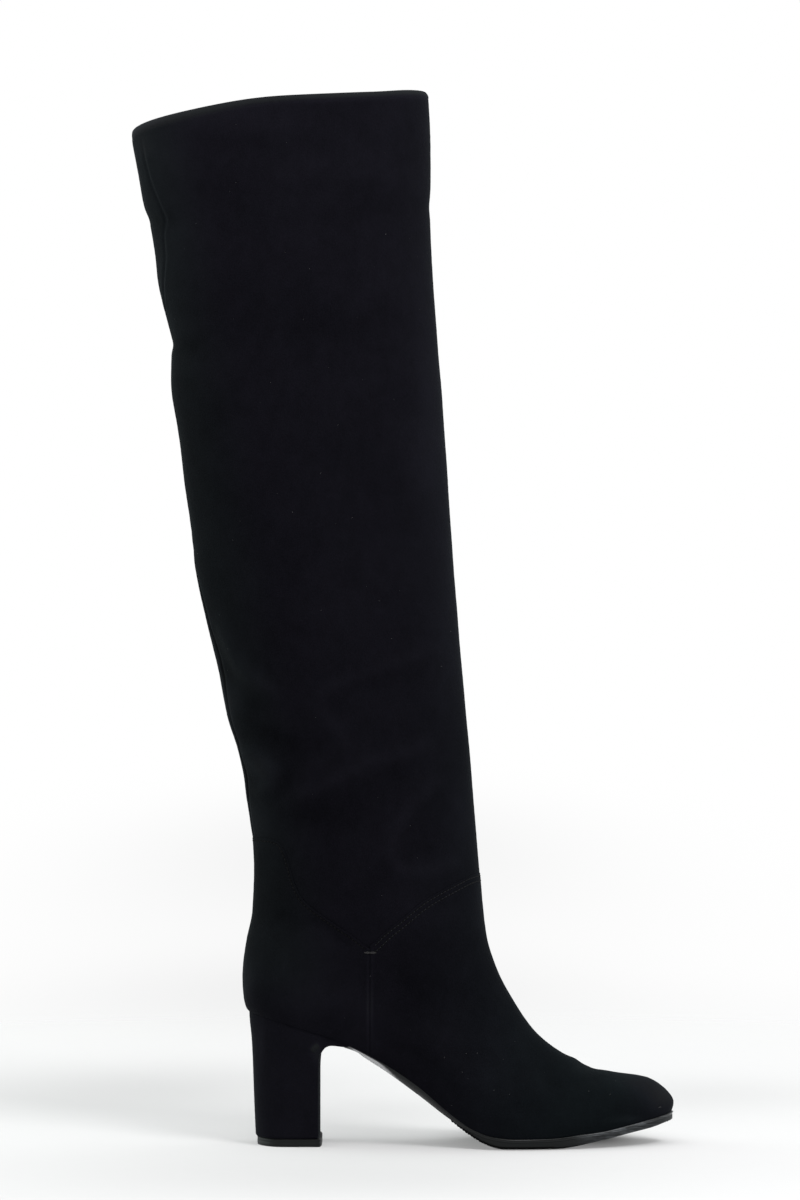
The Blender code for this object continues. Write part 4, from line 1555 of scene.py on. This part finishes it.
def suede_material(name):
    """Black suede: a short soft nap, patches of random tone and a faint sheen at grazing angles, with the
    painted highlight and shade that each mesh carries. Its colour is painted darker towards the foot as shade
    and greener at its back as painted greenish light, and turns a little towards the toe."""
    material, tree, shader = new_material(name)
    flat = own_coordinates(tree)
    lying = own_coordinates(tree, PILE_STRETCH)
    patches = remap(tree, noise(tree, flat, *PATCHES), *PATCH_STEP)
    mottle = noise(tree, lying, *MOTTLE)
    pile = noise(tree, lying, *PILE)
    tone = plus(tree, times(tree, patches, PATCH_SHARE), times(tree, mottle, MOTTLE_SHARE))
    tone = plus(tree, tone, times(tree, pile, PILE_SHARE))
    carried = own_tone(tree)
    share = plus(tree, remap(tree, tone, *TONE_STEP), carried)
    share = calculate(tree, "MAXIMUM", share, DARKEST)
    toe = toe_share(tree, flat)
    back = back_light_share(tree, flat)
    # the painted highlights and the toe's scuffs turn greyer
    highlight_and_scuff_share = remap(tree, carried, *HIGHLIGHT_AND_SCUFF_STEP)
    light = blend_colours(tree, highlight_and_scuff_share, hue_at(tree, back, toe, "light"), HIGHLIGHT_AND_SCUFF_HUE)
    colour = blend_colours(tree, share, hue_at(tree, back, toe, "dark"), light, True)
    # painted shade, darker towards the foot
    shade = remap(tree, axis(tree, flat, "Z"), *FOOT_STEP)
    rough = remap(tree, mottle, *ROUGH_STEP)
    normal = bump(tree, pile, *PILE_BUMP, Normal=bump(tree, mottle, *MOTTLE_BUMP))
    feed(tree, shader, Base_Color=blend_colours(tree, shade, BLACK, colour), Roughness=rough, Normal=normal)
    feed(tree, shader, Specular_IOR_Level=0.02, Sheen_Weight=0.05, Sheen_Roughness=0.30)
    feed(tree, shader, Sheen_Tint=SHEEN_TINT)
    return material


def grey(value):
    return (value, value, value)


# Leather and rubber: two colours, roughness, depth of the grain, coat, colour where it is scuffed, and gloss
Finish = namedtuple("Finish", "dark light roughness grain coat scuff gloss")
FINISHES = {
    "lining": Finish((0.012, 0.011, 0.011), (0.022, 0.021, 0.020), 0.52, 0.25, 0.0, None, 0.23),
    "sole_edge": Finish(grey(0.003), grey(0.008), 0.34, 0.08, 0.2, (0.155, 0.167, 0.178), 0.23),
    "rubber": Finish(grey(0.005), grey(0.010), 0.50, 0.30, 0.0, (0.088, 0.095, 0.102), 0.23),
    "matt_rubber": Finish(grey(0.003), grey(0.006), 0.85, 0.5, 0.0, None, 0.04),
}
GLOSS_TINT = (0.90, 0.98, 1.0, 1.0)
# colour of the painted highlights and reflections on the sole's edge
SHINE = (0.62, 0.62, 0.63)
STREAK_STRETCH = (0.10, 0.10, 1.0)
CLOUD_ENDS = (0.3, 0.7)
CLOUD_ROUGH = (-0.06, 0.08)  # roughness beside the finish's at these ends


def scuffed(tree, flat, colour, scuff):
    """Colour scuffed paler in streaks towards the toe, and painted bright as highlight and reflection where
    the mesh carries a tone.
    """
    streaks = noise(tree, own_coordinates(tree, STREAK_STRETCH), *STREAKS)
    along = axis(tree, flat, "X")
    scuff_and_highlight = times(tree, remap(tree, along, *SCUFF_STEP), remap(tree, along, *SCUFF_TIP_STEP))
    scuff_and_highlight = times(tree, scuff_and_highlight, remap(tree, streaks, *STREAK_STEP))
    return blend_colours(tree, own_tone(tree), blend_colours(tree, scuff_and_highlight, colour, scuff), SHINE)


def leather_material(name, finish):
    """Smooth leather or rubber with a fine grain, scuffed where its finish has a colour for that."""
    material, tree, shader = new_material(name)
    flat = own_coordinates(tree)
    cloud = noise(tree, flat, *CLOUD)
    pores = noise(tree, flat, *PORES)
    colour = blend_colours(tree, cloud, finish.dark, finish.light)
    if finish.scuff:
        colour = scuffed(tree, flat, colour, finish.scuff)
    rough = remap(tree, cloud, *CLOUD_ENDS, *(finish.roughness + change for change in CLOUD_ROUGH))
    feed(tree, shader, Base_Color=colour, Roughness=rough, Normal=bump(tree, pores, finish.grain, PORE_DEPTH))
    feed(tree, shader, Specular_IOR_Level=finish.gloss, Specular_Tint=GLOSS_TINT)
    feed(tree, shader, Coat_Weight=finish.coat, Coat_Roughness=0.22)
    return material


# Threads: colour and gloss
THREADS = {
    "thread": ((0.0125, 0.0132, 0.0155), 0.12),
    # the counter's stitches, painted nearly black as the shade along its lapped edge
    "shaded_edge_thread": ((0.0020, 0.0021, 0.0027), 0.03),
    # black marks that stand in for the shade inside the needle holes
    "needle_hole_shade": ((0.0010, 0.0010, 0.0012), 0.12),
    "tack_thread": ((0.030, 0.029, 0.030), 0.12),
    "lint": (grey(0.11), 0.12),
}
FIBRE_STRETCH = (1.0, 1.0, 3.0)
FIBRE_LIGHT = 1.7  # the fibres' light side beside their dark one


def thread_material(name, colour, gloss):
    """Spun thread with a fine twist."""
    material, tree, shader = new_material(name)
    fibres = noise(tree, own_coordinates(tree, FIBRE_STRETCH), *FIBRES)
    paler = tuple(FIBRE_LIGHT * value for value in colour)
    twist = bump(tree, fibres, *FIBRE_BUMP)
    feed(tree, shader, Base_Color=blend_colours(tree, fibres, colour, paler), Normal=twist)
    feed(tree, shader, Roughness=0.7, Specular_IOR_Level=gloss, Sheen_Weight=0.02)
    return material


# Stage, in metres
FLOOR_RADIUS = 8.0
FLOOR_GREYS = (grey(0.91), grey(0.93))
Shade = namedtuple("Shade", "name x y wide deep amount")
SHADES = (
    Shade("left_band", -0.145, 0.31, 0.115, 0.15, 0.16),
    Shade("right_band", 0.18, 0.26, 0.10, 0.11, 0.09),
    Shade("under_arch", -0.02, 0.16, 0.06, 0.08, 0.10),
    Shade("under_ball", 0.045, 0.03, 0.02, 0.04, 0.25),
    Shade("under_toe", 0.101, 0.022, 0.028, 0.032, 0.92),
    Shade("front", -0.02, -0.16, 0.14, 0.11, 0.12),
    Shade("front_left", -0.15, -0.17, 0.10, 0.15, 0.02),
    Shade("behind", -0.06, 1.05, 0.19, 0.38, 0.09),
    Shade("far_behind", -0.06, 3.0, 0.28, 1.7, 0.10),
)
Lamp = namedtuple("Lamp", "name place aim size power colour")
WHITE = (1.0, 1.0, 1.0)
LAMPS = (
    Lamp("overhead", (0.0, -0.20, 2.1), (0.0, 0.0, 0.2), 3.2, 25.0, WHITE),
    Lamp("left_rear", (-1.6, 0.60, 0.6), (0.0, 0.0, 0.3), 1.2, 11.0, (0.86, 1.0, 0.92)),
    Lamp("right_rear", (1.6, 0.75, 0.55), (0.0, 0.0, 0.25), 1.2, 6.5, (0.92, 0.98, 1.0)),
    Lamp("key", (1.1, -1.4, 2.0), (0.0, 0.0, 0.2), 0.8, 24.0, WHITE),
)
BACKDROP = (1.0, 1.0, 1.0, 1.0)
FILL = (0.42, 0.42, 0.425, 1.0)


def floor_shade(tree, flat):
    """Sum of the floor's soft shades, each fallen off like a bell from its middle."""
    x = axis(tree, flat, "X")
    y = axis(tree, flat, "Y")
    total = 0.0
    for shade in SHADES:
        u = calculate(tree, "DIVIDE", calculate(tree, "SUBTRACT", x, shade.x), shade.wide)
        v = calculate(tree, "DIVIDE", calculate(tree, "SUBTRACT", y, shade.y), shade.deep)
        squares = plus(tree, times(tree, u, u), times(tree, v, v))
        bell = calculate(tree, "POWER", float(np.exp(-1.0)), squares)
        total = plus(tree, times(tree, bell, shade.amount), total)
    return total


def floor_material():
    """Pale matt floor that fades out all round, so that no edge shows, with the listed soft shades."""
    material, tree, shader = new_material("floor")
    flat = own_coordinates(tree)
    away = add_node(tree, "VectorMath", "Value", [("operation", "LENGTH")], Vector=flat)
    fade = remap(tree, away, *FLOOR_STEP)
    colour = blend_colours(tree, noise(tree, flat, *FLOOR_GRAIN), *FLOOR_GREYS)
    feed(tree, shader, Base_Color=colour, Alpha=fade, Roughness=0.9, Specular_IOR_Level=0.1)
    black = add_node(tree, "BsdfDiffuse", "BSDF", Color=(*BLACK, 1.0))
    mix_shaders(tree, floor_shade(tree, flat), shader.outputs["BSDF"], black, "Material Output")
    return material


def make_floor():
    mesh = bpy.data.meshes.new("floor")
    turn = np.linspace(0.0, 2.0 * np.pi, FLOOR_POINTS + 1)[:-1]
    rim = [(FLOOR_RADIUS * np.cos(t), FLOOR_RADIUS * np.sin(t), 0.0) for t in turn]
    mesh.from_pydata(rim, [], [list(range(len(rim)))])
    mesh.materials.append(floor_material())
    floor = add_object("floor", mesh)


def make_lights():
    bpy.context.scene.world = make_world()
    for lamp in LAMPS:
        light = bpy.data.lights.new(lamp.name, "AREA")
        light.energy = lamp.power
        light.color = lamp.colour
        light.size = lamp.size
        obj = add_object(lamp.name, light)
        obj.location = lamp.place
        aim = Vector(lamp.aim) - Vector(lamp.place)
        obj.rotation_euler = aim.to_track_quat("-Z", "Y").to_euler()
        obj.visible_camera = False


def make_world():
    """White backdrop behind everything, with a weaker fill light from all sides."""
    world = bpy.data.worlds.new("studio")
    world.use_nodes = True
    tree = world.node_tree
    fill = tree.nodes["Background"]
    feed(tree, fill, Color=FILL)
    backdrop = add_node(tree, "Background", "Background", Color=BACKDROP)
    to_camera = add_node(tree, "LightPath", "Is Camera Ray")
    mix_shaders(tree, to_camera, fill.outputs["Background"], backdrop, "World Output")
    return world


def make_camera():
    data = bpy.data.cameras.new("camera")
    data.sensor_width = SENSOR
    data.lens = SENSOR * CAMERA_AWAY / FRAME_HEIGHT
    camera = add_object("camera", data)
    camera.location = (CAMERA_X * MM, -CAMERA_AWAY * MM, CAMERA_Z * MM)
    camera.rotation_euler = (np.pi / 2.0, 0.0, 0.0)
    bpy.context.scene.camera = camera


def make_stage():
    """Camera, lights and floor."""
    bpy.context.scene.view_settings.view_transform = "Standard"
    make_camera()
    make_lights()
    make_floor()


def make_boot():
    """Every piece of the boot."""
    suede = suede_material("suede")
    leather = {name: leather_material(name, finish) for name, finish in FINISHES.items()}
    thread = {name: thread_material(name, *spun) for name, spun in THREADS.items()}
    shaft = make_shaft(suede)
    vamp = make_vamp(suede)
    counter = make_counter(suede)
    make_lining(leather["lining"])
    make_insole(leather["lining"])
    make_outsole(leather["sole_edge"])
    make_half_sole(leather["rubber"], leather["matt_rubber"])
    make_heel(suede)
    make_lift(leather["rubber"])
    make_stitches("vamp", vamp, VAMP_STITCH_ROWS, thread["thread"], thread["needle_hole_shade"])
    # the counter's stitching is painted dark, as shade along its edge
    make_stitches("counter", counter, COUNTER_STITCH_ROWS, thread["shaded_edge_thread"], thread["needle_hole_shade"])
    tree = surface_tree((shaft, vamp.obj, counter.obj))
    make_tacks(tree, thread["tack_thread"])
    make_lint(tree, thread["lint"])


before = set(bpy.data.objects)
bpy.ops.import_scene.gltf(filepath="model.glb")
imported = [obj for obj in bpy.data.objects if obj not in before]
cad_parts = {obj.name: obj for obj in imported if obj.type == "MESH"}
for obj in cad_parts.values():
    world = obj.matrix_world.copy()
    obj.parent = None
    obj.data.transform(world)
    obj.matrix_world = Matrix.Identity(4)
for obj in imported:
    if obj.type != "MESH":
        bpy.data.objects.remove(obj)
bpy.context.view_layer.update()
make_stage()
make_boot()
